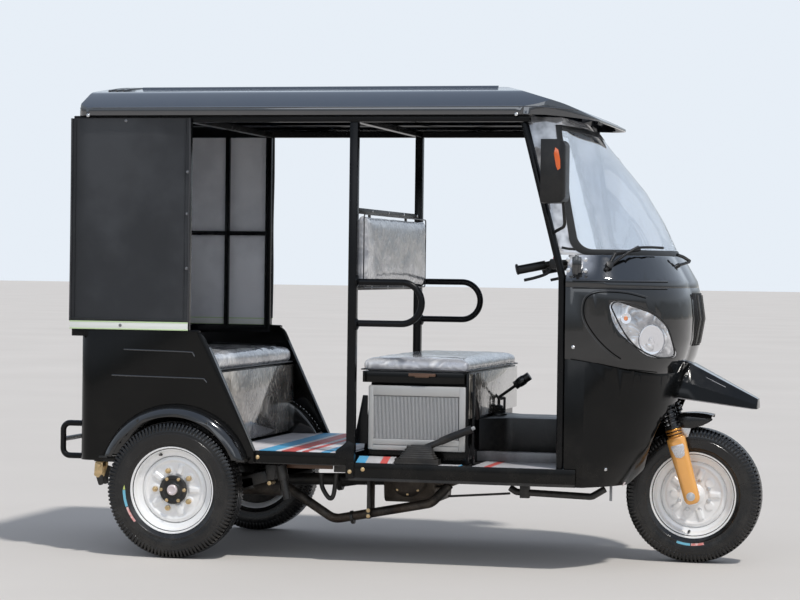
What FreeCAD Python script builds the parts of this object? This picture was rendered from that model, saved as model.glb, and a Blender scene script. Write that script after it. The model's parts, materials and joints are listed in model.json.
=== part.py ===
import FreeCAD, Part
import math
import os

# Auto rickshaw with one steered front wheel and two rear wheels under a passenger tub.
# Lengths are in millimetres.  X points forward, Y to the left and Z up.
# Stations along X are counted from the rear axle, and the finished part is moved so that
# its origin lies on the ground below the middle of its box.

V = FreeCAD.Vector

# Body width, and how far inside or outside it the pieces stand
tub_half_width = 556.0
wheel_inset = 11.0
floor_inset = 11.0
housing_depth = 86.0
post_inset = 20.0
pillar_inset = 28.0
roof_overhang = 30.0
cowl_inset = 11.0
driver_seat_inset = 74.0
rear_seat_inset = 20.0
seam_inset = 76.0
rear_back_inset = 56.0
rail_inset = 156.0
radiator_inset = 120.0
screen_side_inset = 100.0
brake_inset = 16.0

# Wheels and tyres
wheelbase = 1937.0
tyre_radius = 262.0
tyre_width = 114.0
rim_radius = 167.0
rim_width = 90.0
rear_wheel_y = tub_half_width - wheel_inset
rim_sheet = 5.0
wheel_disc_offset = 12.0
hub_radius = 48.0
stud_circle = 78.0
stud_count = 5
stud_radius = 6.0
bearing_gap = 0.05

# Steering
rake_deg = 16.0
axis_setback = 30.0
fork_leg_y = 90.0
fork_tube_radius = 20.0
front_axle_radius = 9.0
stem_radius = 15.0
head_tube_bottom = 690.0
head_tube_top = 1000.0
head_wall = 8.0
yoke_height = 646.0
yoke_thick = 34.0
handlebar_height = 1150.0
handlebar_radius = 12.0
grip_radius = 17.0
mudguard_gap = 22.0
mudguard_width = 128.0

# Chassis and floors
sheet = 3.0
rear_floor_z = 419.0
front_floor_z = 383.0
rear_sill_depth = 47.0
front_sill_depth = 64.0
floor_half_width = tub_half_width - floor_inset
step_x = 690.0
rail_y = tub_half_width - rail_inset
rail_width = 50.0
rail_depth = 42.0

# Rear tub
tub_rear_x = -402.0
tub_top_z = 872.0
tub_bottom_z = 364.0
tub_corner_radius = 60.0
tub_front_foot_x = 316.0
tub_front_top_x = 104.0
tub_flange = 28.0
arch_radius = 311.0
arch_centre_z = 280.0
arch_lip = 47.0
flare_reach = 46.0
housing_inner_y = tub_half_width - housing_depth

# Cab frame
post_y = tub_half_width - post_inset
post_size = 32.0
tube_size = 25.0
mid_post_x = 696.0
rail_top_z = 1702.0
rear_post_x = 35.0
grid_x = -150.0
grid_z = 1268.0
grid_size = 18.0
pillar_radius = 14.0
pillar_y = tub_half_width - pillar_inset
handrail_low_z = 915.0
handrail_high_z = 1072.0
handrail_end_x = 977.0
handrail_radius = 12.5

# Roof
roof_half_width = tub_half_width + roof_overhang
roof_rear_x = -412.0
roof_tip_x = 1600.0
roof_top_z = 1840.0
roof_depth = 138.0
roof_lip_z = roof_top_z - roof_depth
roof_sheet = 4.0

# Curtains
curtain_thick = 6.0
curtain_top_z = 1694.0
curtain_bottom_z = 882.0
curtain_front_x = 48.0
curtain_rear_x = -436.0

# Front body
skin = 4.0
cowl_rear_x = 1514.0
cowl_half_width = tub_half_width - cowl_inset
nose_half_width = 130.0
cowl_split_z = 1064.0
cowl_top_end_z = 1184.0
shield_bottom_z = 319.0
glass_thick = 5.0
seal_width = 22.0
bulkhead_x = 1558.0
grille_low_z = 842.0
grille_high_z = 1044.0
slat_count = 9

# Seats
driver_seat_rear_x = 712.0
driver_seat_front_x = 1143.0
driver_seat_half_width = tub_half_width - driver_seat_inset
driver_pan_z = 690.0
driver_pan_depth = 42.0
driver_cushion_depth = 52.0
rear_seat_front_x = 158.0
rear_seat_panel_x = 135.0
rear_cushion_low_z = 716.0
rear_cushion_depth = 72.0
rear_seat_half_width = tub_half_width - rear_seat_inset
rear_back_thick = 70.0
rear_back_height = 430.0
soft_gap = 0.3

# Engine room and controls
radiator_x = 747.0
radiator_length = 379.0
radiator_z = 432.0
radiator_height = 248.0
radiator_thick = 42.0
radiator_y = radiator_inset - tub_half_width
tunnel_half_width = 150.0
tunnel_height = 165.0

# Sizes of smaller pieces
slot_radius = 12.0
axle_radius = 15.0
drum_radius = 105.0
axle_tube_radius = 34.0
axle_room = 60.0
fork_leg_depth = 46.0
fork_leg_width = 72.0
leg_body_length = 200.0
cross_length = 30.0
neck_radius = 19.0
rear_frame_x = -430.0
engine_rear_x = 722.0
engine_front_x = 1100.0
engine_half_width = 190.0
tub_seam_y = tub_half_width - seam_inset
arch_foot_z = 384.0
rear_back_half_width = tub_half_width - rear_back_inset
front_header_x = 1370.0
pillar_top_x = 1348.0
pillar_x = 1498.0
pillar_bend_z = 1100.0
dash_tube_z = 1040.0
strap_thick = 6.0
strap_depth = 22.0
back_low_z = 1092.0
back_strap_low_z = 1040.0
back_high_z = 1332.0
driver_back_thick = 36.0
seat_box_rear_x = 716.0
seat_box_lean = 32.0
fin_count = 24
spring_half_length = 362.0
leaf_thick = 8.0
leaf_width = 56.0
leaf_count = 4
damper_x = 402.0
damper_radius = 19.0
damper_low_z = 236.0
exhaust_front_x = 1020.0
exhaust_y = -262.0
exhaust_radius = 18.0
silencer_front_x = 350.0
silencer_rear_x = 110.0
bumper_y = 450.0
bumper_x = -500.0
bumper_high_z = 500.0
bumper_low_z = 372.0
bumper_bar_z = 436.0
bumper_radius = 11.5
window_half_width = 260.0
window_low_z = 1290.0
window_high_z = 1520.0
roof_tip_drop = 12.0
roof_brow_drop = 96.0
roof_corner_radius = 280.0
crown_rise = 33.0
crown_radius = 2900.0
shoulder_drop = 44.0
nose_setback = 17.0
lamp_inner_y = 160.0
grille_half_width = 118.0
grille_back_x = 1915.0
slat_thick = 9.0
cowl_bulge = 0.70
shield_bulge = 0.66
shelf_z = 1056.0
pod_height = 58.0
screen_side_y = tub_half_width - screen_side_inset
screen_glass_top_z = 1648.0
bar_setback = 62.0
grip_end_x = 1280.0
grip_end_y = 281.0
grip_bend_y = 263.0
bar_bend_y = 178.0
guard_front_deg = 13.0
guard_sweep_deg = 62.0

hub_z = tyre_radius
rake = math.radians(rake_deg)
axis_x_at_hub = wheelbase - axis_setback / math.cos(rake)


def axis_x(z):
    """Station of the steering axis at height z."""
    return axis_x_at_hub - (z - hub_z) * math.tan(rake)


def leg_x(z):
    """Station of the fork legs' centre line at height z."""
    return wheelbase - (z - hub_z) * math.tan(rake)


def box(x0, x1, y0, y1, z0, z1):
    return Part.makeBox(x1 - x0, y1 - y0, z1 - z0, V(x0, y0, z0))


def rod(start, end, radius):
    start = V(*start)
    end = V(*end)
    return Part.makeCylinder(radius, (end - start).Length, start, end - start)


def join(shapes):
    return shapes[0].multiFuse(shapes[1:]).removeSplitter()


def other_side(shape):
    return shape.mirror(V(0, 0, 0), V(0, 1, 0))


def largest_of(shape):
    """The main solid, without slivers that a cut has left."""
    return max(shape.Solids, key=lambda solid: solid.Volume)


def both_sides(shape):
    return Part.makeCompound([shape, other_side(shape)])


def rounded_wire(rows, closed):
    """Wire through corner points, each row being (x, y, z, corner radius)."""
    points = [V(row[0], row[1], row[2]) for row in rows]
    count = len(points)
    starts = []
    ends = []
    arcs = []
    for i in range(count):
        corner = points[i]
        radius = rows[i][3]
        if radius == 0 or (not closed and i in (0, count - 1)):
            starts.append(corner)
            ends.append(corner)
            arcs.append(None)
            continue
        back = (points[i - 1] - corner).normalize()
        ahead = (points[(i + 1) % count] - corner).normalize()
        half = back.getAngle(ahead) / 2
        reach = radius / math.tan(half)
        bisector = (back + ahead).normalize()
        middle = corner + bisector * (radius / math.sin(half) - radius)
        starts.append(corner + back * reach)
        ends.append(corner + ahead * reach)
        arcs.append(middle)
    edges = []
    for i in range(count):
        if arcs[i] is not None:
            edges.append(Part.Arc(starts[i], arcs[i], ends[i]).toShape())
        if i < count - 1 or closed:
            following = starts[(i + 1) % count]
            if (following - ends[i]).Length > 0.01:
                edges.append(Part.LineSegment(ends[i], following).toShape())
    return Part.Wire(edges)


def side_plate(rows, y0, y1):
    """Solid with a side outline, each row being (x, z, corner radius)."""
    wire = rounded_wire([(x, y0, z, radius) for x, z, radius in rows], True)
    return Part.Face(wire).extrude(V(0, y1 - y0, 0))


def plan_plate(rows, z0, z1):
    """Solid with a plan outline, each row being (x, y, corner radius)."""
    wire = rounded_wire([(x, y, z0, radius) for x, y, radius in rows], True)
    return Part.Face(wire).extrude(V(0, 0, z1 - z0))


def front_plate(rows, x0, x1):
    """Solid with a front outline, each row being (y, z, corner radius)."""
    wire = rounded_wire([(x0, y, z, radius) for y, z, radius in rows], True)
    return Part.Face(wire).extrude(V(x1 - x0, 0, 0))


def bent_tube(rows, radius):
    """Round tube along corner points, each row being (x, y, z, bend radius)."""
    path = rounded_wire(rows, False)
    direction = V(*rows[1][:3]) - V(*rows[0][:3])
    ring = Part.Wire(Part.makeCircle(radius, V(*rows[0][:3]), direction))
    return path.makePipeShell([ring], True, True)


def turned(rows, centre, axis):
    """Solid of revolution, each row being (along the axis, radius from it)."""
    points = [V(along, 0, radius) for along, radius in rows]
    face = Part.Face(Part.makePolygon(points + points[:1]))
    solid = face.revolve(V(0, 0, 0), V(1, 0, 0), 360)
    solid.Placement = FreeCAD.Placement(V(*centre), FreeCAD.Rotation(V(1, 0, 0), V(*axis)))
    return solid


def ring_of(solid, centre, axis, count):
    """Copies of a solid set evenly round an axis."""
    copies = []
    for i in range(count):
        copy = solid.copy()
        copy.rotate(V(*centre), V(*axis), 360.0 * i / count)
        copies.append(copy)
    return copies


parts = {}

# Tyres and wheels, turned about their own axles

bead_radius = rim_radius - 14.0
well_radius = rim_radius - 40.0
tyre_half = tyre_width / 2
rim_half = rim_width / 2
disc_at = wheel_disc_offset

# Tyre section from one bead to the other: along the axle, radius
tyre_rows = [
    (-tyre_half + 26, bead_radius),
    (-tyre_half + 17, rim_radius + 2),
    (-tyre_half + 4, rim_radius + 17),
    (-tyre_half, rim_radius + 42),
    (-tyre_half + 2, tyre_radius - 24),
    (-tyre_half + 4, tyre_radius - 10),
    (-tyre_half + 10, tyre_radius - 3),
    (0, tyre_radius),
    (tyre_half - 10, tyre_radius - 3),
    (tyre_half - 4, tyre_radius - 10),
    (tyre_half - 2, tyre_radius - 24),
    (tyre_half, rim_radius + 42),
    (tyre_half - 4, rim_radius + 17),
    (tyre_half - 17, rim_radius + 2),
    (tyre_half - 26, bead_radius),
]

# Rim section, outside and then back along the inside: along the axle, radius
rim_rows = [
    (rim_half, rim_radius),
    (rim_half - rim_sheet, rim_radius),
    (rim_half - rim_sheet, bead_radius),
    (rim_half - 26, bead_radius),
    (rim_half - 34, well_radius),
    (-rim_half + 34, well_radius),
    (-rim_half + 26, bead_radius),
    (-rim_half + rim_sheet, bead_radius),
    (-rim_half + rim_sheet, rim_radius),
    (-rim_half, rim_radius),
    (-rim_half, bead_radius - rim_sheet),
    (-rim_half + 23, bead_radius - rim_sheet),
    (-rim_half + 31, well_radius - rim_sheet),
    (rim_half - 31, well_radius - rim_sheet),
    (rim_half - 23, bead_radius - rim_sheet),
    (rim_half, bead_radius - rim_sheet),
]

# Dished wheel disc: along the axle, radius
disc_rows = [
    (disc_at - 6, well_radius - rim_sheet),
    (disc_at + 12, well_radius - 16),
    (disc_at + 12, stud_circle + 20),
    (disc_at + 2, stud_circle + 8),
    (disc_at + 2, hub_radius - 4),
    (disc_at - 3, hub_radius - 4),
    (disc_at - 3, stud_circle + 10),
    (disc_at + 7, stud_circle + 22),
    (disc_at + 7, well_radius - 18),
    (disc_at - 12, well_radius - rim_sheet),
]


def wheel_solid(centre, facing, hub_rows):
    axis = (0, facing, 0)
    middle = V(*centre)
    outward = V(*axis)
    rim = turned(rim_rows, centre, axis)
    disc = turned(disc_rows, centre, axis)
    slot_at = middle + outward * (disc_at - 20) + V(0, 0, stud_circle + 27)
    slot = Part.makeCylinder(slot_radius, 60, slot_at, outward)
    slot.rotate(middle, outward, 180.0 / stud_count)
    slots = ring_of(slot, centre, axis, stud_count)
    disc = disc.cut(Part.makeCompound(slots))
    nut_at = middle + outward * disc_at + V(0, 0, stud_circle)
    nut = Part.makeCylinder(stud_radius + 4, 14, nut_at, outward)
    nuts = ring_of(nut, centre, axis, stud_count)
    hub = turned(hub_rows, centre, axis)
    return join([rim, disc, hub] + nuts)


rear_hub_rows = [
    (-rim_half - 1, axle_radius + bearing_gap),
    (-rim_half - 1, drum_radius),
    (disc_at - 3, drum_radius),
    (disc_at - 3, hub_radius),
    (disc_at + 24, hub_radius),
    (disc_at + 26, hub_radius - 4),
    (disc_at + 26, axle_radius + bearing_gap),
]
front_hub_half = fork_leg_y - fork_leg_depth / 2 - 4
front_hub_rows = [
    (-front_hub_half, front_axle_radius + bearing_gap),
    (-front_hub_half, 34),
    (-rim_half + 8, 60),
    (disc_at, 60),
    (disc_at + 6, hub_radius - 10),
    (front_hub_half, 30),
    (front_hub_half, front_axle_radius + bearing_gap),
]

wheel_places = [
    # name, station, y, side that the disc faces, hub section
    ("rear_right", 0.0, -rear_wheel_y, -1, rear_hub_rows),
    ("rear_left", 0.0, rear_wheel_y, 1, rear_hub_rows),
    ("front", wheelbase, 0.0, -1, front_hub_rows),
]
for name, x, y, facing, hub_rows in wheel_places:
    centre = (x, y, hub_z)
    parts["wheel_" + name] = wheel_solid(centre, facing, hub_rows)
    parts["tyre_" + name] = turned(tyre_rows, centre, (0, facing, 0))

# Chassis: two rails with a step, cross members, and the neck that carries the steering head

rear_rail_top = rear_floor_z - sheet
chassis_rear_x = tub_rear_x + sheet
front_rail_top = front_floor_z - sheet
shield_room = 16.0
rail_half = rail_width / 2
rails = [
    box(chassis_rear_x, step_x, rail_y - rail_half, rail_y + rail_half,
        rear_rail_top - rail_depth, rear_rail_top),
    box(step_x - 90, bulkhead_x - 8, rail_y - rail_half, rail_y + rail_half,
        front_rail_top - rail_depth, front_rail_top),
]
chassis = rails + [other_side(rail) for rail in rails]
cross_members = [
    # station of the rear face, top, half width
    (chassis_rear_x, rear_rail_top, rail_y),
    (rear_seat_panel_x, rear_rail_top, rail_y),
    (step_x - cross_length, rear_rail_top, floor_half_width - sheet),
    (engine_front_x, front_rail_top, floor_half_width - sheet),
    (bulkhead_x - 8 - cross_length, front_rail_top, floor_half_width - shield_room),
]
for x, top, half_width in cross_members:
    chassis.append(box(x, x + cross_length, -half_width, half_width, top - rail_depth, top))
head_axis = V(-math.sin(rake), 0, math.cos(rake))
head_low = V(axis_x(head_tube_bottom), 0, head_tube_bottom)
head_high = V(axis_x(head_tube_top), 0, head_tube_top)
head_length = (head_high - head_low).Length
head_outer = Part.makeCylinder(stem_radius + head_wall, head_length, head_low, head_axis)
head_bore = Part.makeCylinder(stem_radius + bearing_gap, head_length + 200,
                              head_low - head_axis * 100, head_axis)
neck_foot_x = bulkhead_x - 8 - cross_length / 2
neck_z = head_tube_bottom + 90
neck = rod((neck_foot_x, 0, front_rail_top - 10), (axis_x(neck_z), 0, neck_z), neck_radius)
brace_z = head_tube_top - 30
brace = rod((bulkhead_x + sheet, 0, brace_z), (axis_x(brace_z), 0, brace_z), neck_radius)
chassis += [head_outer, neck, brace]
parts["chassis_frame"] = join(chassis).cut(head_bore)

# Engine under the driver's seat, held between two cross members

engine_low_z = 204.0
crankcase = box(engine_rear_x, engine_front_x, -engine_half_width, engine_half_width,
                front_rail_top - rail_depth, front_rail_top)
sump = front_plate([(-150, engine_low_z, 30), (150, engine_low_z, 30), (170, front_rail_top, 0),
                    (-170, front_rail_top, 0)], engine_rear_x + 10, engine_rear_x + 215)
barrel = box(engine_rear_x + 60, engine_rear_x + 240, -90, 90, front_rail_top, 600)
head_cover = box(engine_rear_x + 50, engine_rear_x + 250, -100, 100, 600, 640)
parts["engine_block"] = join([crankcase, sump, barrel, head_cover])

# Floors: folded pans with deep side sills

engine_hole = box(engine_rear_x, engine_front_x, -engine_half_width, engine_half_width,
                  front_floor_z - 200, front_floor_z + 20)
mid_post = box(mid_post_x - post_size / 2, mid_post_x + post_size / 2,
               -post_y - post_size / 2, -post_y + post_size / 2,
               front_floor_z - front_sill_depth + 8, rail_top_z - tube_size)
mid_posts = both_sides(mid_post)


def floor_pan(x0, x1, half_width, top, sill):
    """Folded sheet floor, open below, with sills at its sides and ends."""
    outer = box(x0, x1, -half_width, half_width, top - sill, top)
    inner = box(x0 + sheet, x1 - sheet, -half_width + sheet, half_width - sheet,
                top - sill - 1, top - sheet)
    return outer.cut(inner)


rear_pan = floor_pan(rear_seat_panel_x, step_x, floor_half_width, rear_floor_z, rear_sill_depth)
seat_floor = box(tub_rear_x + sheet, rear_seat_panel_x, -housing_inner_y, housing_inner_y,
                 rear_rail_top, rear_floor_z)
front_pan = floor_pan(step_x, bulkhead_x, floor_half_width, front_floor_z, front_sill_depth)
wheel_room = rod((0, -700, arch_centre_z), (0, -housing_inner_y, arch_centre_z), arch_radius)
wheel_rooms = both_sides(wheel_room)
chassis_cut = parts["chassis_frame"].fuse(mid_posts)
flange_foot = box(tub_front_foot_x - 6, tub_front_foot_x + 1, -tub_half_width, -tub_half_width + 34,
                  rear_floor_z - sheet, rear_floor_z + 1)
parts["rear_floor"] = largest_of(rear_pan.fuse(seat_floor).cut(chassis_cut).cut(wheel_rooms).cut(
    both_sides(flange_foot)))
parts["front_floor"] = front_pan.cut(chassis_cut).cut(engine_hole)

# Rear tub: side panels with a rounded rear corner, a slanted front edge and a wheel arch

tub_inner = tub_half_width - sheet
band_outer = plan_plate([(400, -tub_half_width, 0), (tub_rear_x, -tub_half_width, tub_corner_radius),
                         (tub_rear_x, -tub_seam_y, 0), (400, -tub_seam_y, 0)],
                        tub_bottom_z, tub_top_z)
band_inner = plan_plate([(401, -tub_inner, 0),
                         (tub_rear_x + sheet, -tub_inner, tub_corner_radius - sheet),
                         (tub_rear_x + sheet, -tub_seam_y + 1, 0), (401, -tub_seam_y + 1, 0)],
                        tub_bottom_z - 1, tub_top_z + 1)
tub_outline = side_plate([(tub_rear_x - 1, tub_bottom_z, 0), (tub_rear_x - 1, tub_top_z, 0),
                          (tub_front_top_x, tub_top_z, 50), (tub_front_foot_x, rear_floor_z, 0),
                          (tub_front_foot_x, rear_floor_z - rear_sill_depth, 0)],
                         -tub_half_width - 1, -tub_seam_y + 2)
tub_side = band_outer.cut(band_inner).common(tub_outline).cut(wheel_room)
flange_run = (tub_front_foot_x - tub_front_top_x) / (tub_top_z - rear_floor_z)
flange_top = tub_top_z - 60
flange_top_x = tub_front_foot_x - flange_run * (flange_top - rear_floor_z)
flange = side_plate([(tub_front_foot_x, rear_floor_z, 0), (flange_top_x, flange_top, 0),
                     (flange_top_x - sheet, flange_top, 0),
                     (tub_front_foot_x - sheet, rear_floor_z, 0)],
                    -tub_inner, -tub_inner + tub_flange)
parts["tub_sides"] = both_sides(tub_side.fuse(flange))
parts["tub_rear_panel"] = box(tub_rear_x, tub_rear_x + sheet, -tub_seam_y, tub_seam_y,
                              tub_bottom_z, tub_top_z)

# Wheel arches: pressed flare outside the tub and a liner with an inner wall inside it

flare_rows = [
    # outwards from the car's middle, radius about the arch centre
    (tub_half_width, arch_radius),
    (tub_half_width + 16, arch_radius - 5),
    (tub_half_width + flare_reach - 10, arch_radius - 18),
    (tub_half_width + flare_reach, arch_radius - 34),
    (tub_half_width + flare_reach, arch_radius - arch_lip),
    (tub_half_width + flare_reach - sheet, arch_radius - arch_lip),
    (tub_half_width + flare_reach - sheet, arch_radius - 35),
    (tub_half_width + flare_reach - 12, arch_radius - 21),
    (tub_half_width + 15, arch_radius - 8),
    (tub_half_width, arch_radius - sheet),
    (housing_inner_y + sheet, arch_radius - sheet),
    (housing_inner_y + sheet, hub_z / 2),
    (housing_inner_y, hub_z / 2),
    (housing_inner_y, arch_radius),
]
arch_centre = (0, 0, arch_centre_z)
arch = turned(flare_rows, arch_centre, (0, -1, 0))
arch = arch.cut(box(-500, 500, -700, 0, -100, arch_foot_z))
arch = arch.cut(rod((0, -600, hub_z), (0, -400, hub_z), axle_room))
parts["wheel_arches"] = both_sides(arch)

# Rear bench: box, cushion and backrest

bench_top = rear_cushion_low_z
bench_front = box(rear_seat_panel_x - sheet, rear_seat_panel_x, -housing_inner_y + 1,
                  housing_inner_y - 1, rear_floor_z, bench_top - sheet)
bench_board = box(tub_rear_x + sheet, rear_seat_front_x - 6, -tub_inner, tub_inner,
                  bench_top - sheet, bench_top)
parts["rear_seat_box"] = bench_front.fuse(bench_board)
corner_keep = plan_plate([(tub_rear_x + sheet, -tub_inner, tub_corner_radius),
                          (rear_seat_front_x - 6, -tub_inner, 0),
                          (rear_seat_front_x - 6, tub_inner, 0),
                          (tub_rear_x + sheet, tub_inner, tub_corner_radius)],
                         rear_floor_z, bench_top)
parts["rear_seat_box"] = parts["rear_seat_box"].common(corner_keep)


def cushion(x0, x1, half_width, z0, z1, corner):
    """Plain pad with rounded upright corners and softened edges."""
    pad = plan_plate([(x0, -half_width, corner), (x1, -half_width, corner),
                      (x1, half_width, corner), (x0, half_width, corner)], z0, z1)
    top_edges = [e for e in pad.Edges if e.BoundBox.ZMin > z1 - 0.01]
    return pad.makeFillet(min(18.0, (z1 - z0) / 3), top_edges)


rear_back_x = rear_frame_x + 60
parts["rear_seat_cushion"] = cushion(rear_back_x, rear_seat_front_x, rear_seat_half_width,
                                     bench_top + soft_gap, bench_top + rear_cushion_depth, 30)
parts["rear_backrest"] = cushion(rear_back_x, rear_back_x + rear_back_thick,
                                 rear_back_half_width,
                                 bench_top + rear_cushion_depth + soft_gap,
                                 bench_top + rear_cushion_depth + rear_back_height, 20)

# Cab frame of square tube

tube_half = tube_size / 2
rail_inner = tub_inner - tube_size
roof_rail = box(rear_frame_x, front_header_x, -tub_inner, -rail_inner,
                rail_top_z - tube_size, rail_top_z)
roof_frame = [roof_rail, other_side(roof_rail)]
for x in (rear_frame_x, rear_post_x - tube_half, mid_post_x - tube_half, front_header_x - tube_size):
    roof_frame.append(box(x, x + tube_size, -tub_inner, tub_inner,
                          rail_top_z - tube_size, rail_top_z))
parts["roof_frame"] = join(roof_frame)
parts["mid_posts"] = mid_posts

grid_half = grid_size / 2
post_top = rail_top_z - tube_size
post_middle = tub_inner - tube_half
side_frame = [
    box(rear_frame_x, rear_post_x + tube_half, -tub_inner, -rail_inner,
        tub_top_z - tube_size, tub_top_z),
    box(rear_frame_x, rear_frame_x + tube_size, -tub_inner, -rail_inner, tub_top_z, post_top),
    box(rear_post_x - tube_half, rear_post_x + tube_half, -tub_inner, -rail_inner,
        tub_top_z, post_top),
    box(grid_x - grid_half, grid_x + grid_half, -post_middle - grid_half,
        -post_middle + grid_half, tub_top_z, post_top),
    box(rear_frame_x, rear_post_x, -post_middle - grid_half, -post_middle + grid_half,
        grid_z - grid_half, grid_z + grid_half),
]
tub_corner_room = parts["tub_sides"].fuse(parts["tub_rear_panel"])
side_frame = join(side_frame).cut(tub_corner_room)
parts["rear_side_frames"] = both_sides(side_frame)

pillar_rows = [
    # station, y, height, bend radius
    (pillar_top_x, -pillar_y, rail_top_z - tube_size, 0),
    (pillar_x, -pillar_y, pillar_bend_z, 120),
    (pillar_x, -pillar_y, front_floor_z, 0),
]
pillar = bent_tube(pillar_rows, pillar_radius)
dash_tube = rod((pillar_x, -pillar_y, dash_tube_z), (pillar_x, pillar_y, dash_tube_z), 11)
parts["a_pillars"] = join([pillar, other_side(pillar), dash_tube])

handrail_start = mid_post_x + post_size / 2
handrail_bend = (handrail_high_z - handrail_low_z) / 2 - 0.1
handrail_rows = [
    (handrail_start, -post_y, handrail_high_z, 0),
    (handrail_end_x - handrail_radius, -post_y, handrail_high_z, handrail_bend),
    (handrail_end_x - handrail_radius, -post_y, handrail_low_z, handrail_bend),
    (handrail_start, -post_y, handrail_low_z, 0),
]
parts["handrails"] = both_sides(bent_tube(handrail_rows, handrail_radius))

# Driver's backrest between the mid posts, on two flat straps

strap_x = mid_post_x - strap_thick / 2
post_inner = post_y - post_size / 2
straps = [box(strap_x, strap_x + strap_thick, -post_inner, post_inner, z, z + strap_depth)
          for z in (back_strap_low_z, back_high_z)]
uprights = [box(strap_x, strap_x + strap_thick, y - 12, y + 12, back_strap_low_z, back_high_z)
            for y in (-300, 300)]
parts["backrest_frame"] = join(straps + uprights)
back_x = strap_x + strap_thick + soft_gap
back_pad = box(back_x, back_x + driver_back_thick, -post_inner + 4, post_inner - 4,
               back_low_z + soft_gap, back_high_z - soft_gap)
parts["driver_backrest"] = back_pad.makeFillet(8, [e for e in back_pad.Edges
                                                   if e.BoundBox.XMin > back_x + 1])

# Driver's seat: box over the engine, open at the side for the radiator, pan and cushion

seat_box_front_x = driver_seat_front_x - 15
seat_rows = [
    (seat_box_rear_x, front_floor_z, 0),
    (seat_box_front_x, front_floor_z, 0),
    (seat_box_front_x, driver_pan_z, 0),
    (seat_box_rear_x + seat_box_lean, driver_pan_z, 0),
]
seat_inner_rows = [
    (seat_box_rear_x + sheet, front_floor_z - 1, 0),
    (seat_box_front_x - sheet, front_floor_z - 1, 0),
    (seat_box_front_x - sheet, driver_pan_z - sheet, 0),
    (seat_box_rear_x + seat_box_lean + sheet, driver_pan_z - sheet, 0),
]
seat_y = -radiator_y
seat_box = side_plate(seat_rows, -seat_y, seat_y)
seat_box = seat_box.cut(side_plate(seat_inner_rows, -seat_y + sheet, seat_y - sheet))
radiator_hole = box(radiator_x + 8, seat_box_front_x - 12, -seat_y - 1, -seat_y + sheet + 1,
                    radiator_z + 4, radiator_z + radiator_height - 4)
seat_box = seat_box.cut(radiator_hole)
pan = plan_plate(
    [(driver_seat_rear_x + 6, -driver_seat_half_width + 8, 20),
     (driver_seat_front_x - 6, -driver_seat_half_width + 8, 40),
     (driver_seat_front_x - 6, driver_seat_half_width - 8, 40),
     (driver_seat_rear_x + 6, driver_seat_half_width - 8, 20)],
    driver_pan_z, driver_pan_z + driver_pan_depth)
parts["driver_seat_box"] = seat_box.fuse(pan)
cushion_low = driver_pan_z + driver_pan_depth + soft_gap
parts["driver_cushion"] = cushion(driver_seat_rear_x, driver_seat_front_x, driver_seat_half_width,
                                  cushion_low, cushion_low + driver_cushion_depth, 45)

# Radiator in the seat box's side: tanks, side plates and vertical fins

rad_front = -seat_y - radiator_thick
radiator = box(radiator_x, radiator_x + radiator_length, -seat_y - radiator_thick, -seat_y,
               radiator_z, radiator_z + radiator_height)
corners = [e for e in radiator.Edges
           if e.BoundBox.YLength > radiator_thick - 1]
radiator = radiator.makeChamfer(16, corners)
core_x0 = radiator_x + 20
core_x1 = radiator_x + radiator_length - 28
core_z0 = radiator_z + 46
core_z1 = radiator_z + radiator_height - 43
core = box(core_x0, core_x1, rad_front - 1, rad_front + 12, core_z0, core_z1)
radiator = radiator.cut(core)
fin_pitch = (core_x1 - core_x0) / (fin_count + 1)
fins = [box(core_x0 + fin_pitch * (i + 1) - 1.5, core_x0 + fin_pitch * (i + 1) + 1.5,
            rad_front + 4, rad_front + 12, core_z0, core_z1) for i in range(fin_count)]
parts["radiator"] = radiator.multiFuse(fins)

# Rear axle with differential and propeller shaft

axle_end_y = rear_wheel_y - rim_half - 3
axle_tube = rod((0, -axle_end_y, hub_z), (0, axle_end_y, hub_z), axle_tube_radius)
half_shaft_end = rear_wheel_y + disc_at + 22
half_shafts = rod((0, -half_shaft_end, hub_z), (0, half_shaft_end, hub_z), axle_radius)
diff_rows = [(-95, 0), (-95, 45), (-60, 95), (60, 95), (95, 45), (95, 0)]
differential = turned(diff_rows, (0, 0, hub_z), (0, 1, 0))
prop_shaft = rod((60, 0, hub_z), (engine_rear_x + 10, 0, hub_z + 20), 24)
parts["rear_axle"] = join([axle_tube, half_shafts, differential, prop_shaft])

# Leaf springs under the axle, with eyes, shackles, front brackets and dampers

leaf_top = hub_z - axle_tube_radius
eye_z = 276.0
leaf_rise = eye_z - leaf_top
leaves = []
for row in range(leaf_count):
    reach = spring_half_length * (1 - 0.22 * row)
    drop = row * leaf_thick
    sag = leaf_rise * (reach / spring_half_length) ** 2
    upper = Part.Arc(V(-reach, 0, leaf_top + sag - drop), V(0, 0, leaf_top - drop),
                     V(reach, 0, leaf_top + sag - drop)).toShape()
    lower = Part.Arc(V(reach, 0, leaf_top + sag - drop - leaf_thick),
                     V(0, 0, leaf_top - drop - leaf_thick),
                     V(-reach, 0, leaf_top + sag - drop - leaf_thick)).toShape()
    ends = [Part.LineSegment(V(reach, 0, leaf_top + sag - drop),
                             V(reach, 0, leaf_top + sag - drop - leaf_thick)).toShape(),
            Part.LineSegment(V(-reach, 0, leaf_top + sag - drop - leaf_thick),
                             V(-reach, 0, leaf_top + sag - drop)).toShape()]
    face = Part.Face(Part.Wire([upper, ends[0], lower, ends[1]]))
    face.translate(V(0, -rail_y - leaf_width / 2, 0))
    leaves.append(face.extrude(V(0, leaf_width, 0)))
spring_y0 = -rail_y - leaf_width / 2
spring_y1 = -rail_y + leaf_width / 2
rail_low = rear_rail_top - rail_depth
eyes = [rod((x, spring_y0, eye_z), (x, spring_y1, eye_z), 16)
        for x in (-spring_half_length, spring_half_length)]
clamp = box(-45, 45, spring_y0 - 4, spring_y1 + 4, leaf_top - leaf_count * leaf_thick - 8,
            leaf_top - leaf_count * leaf_thick)
plates = []
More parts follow.
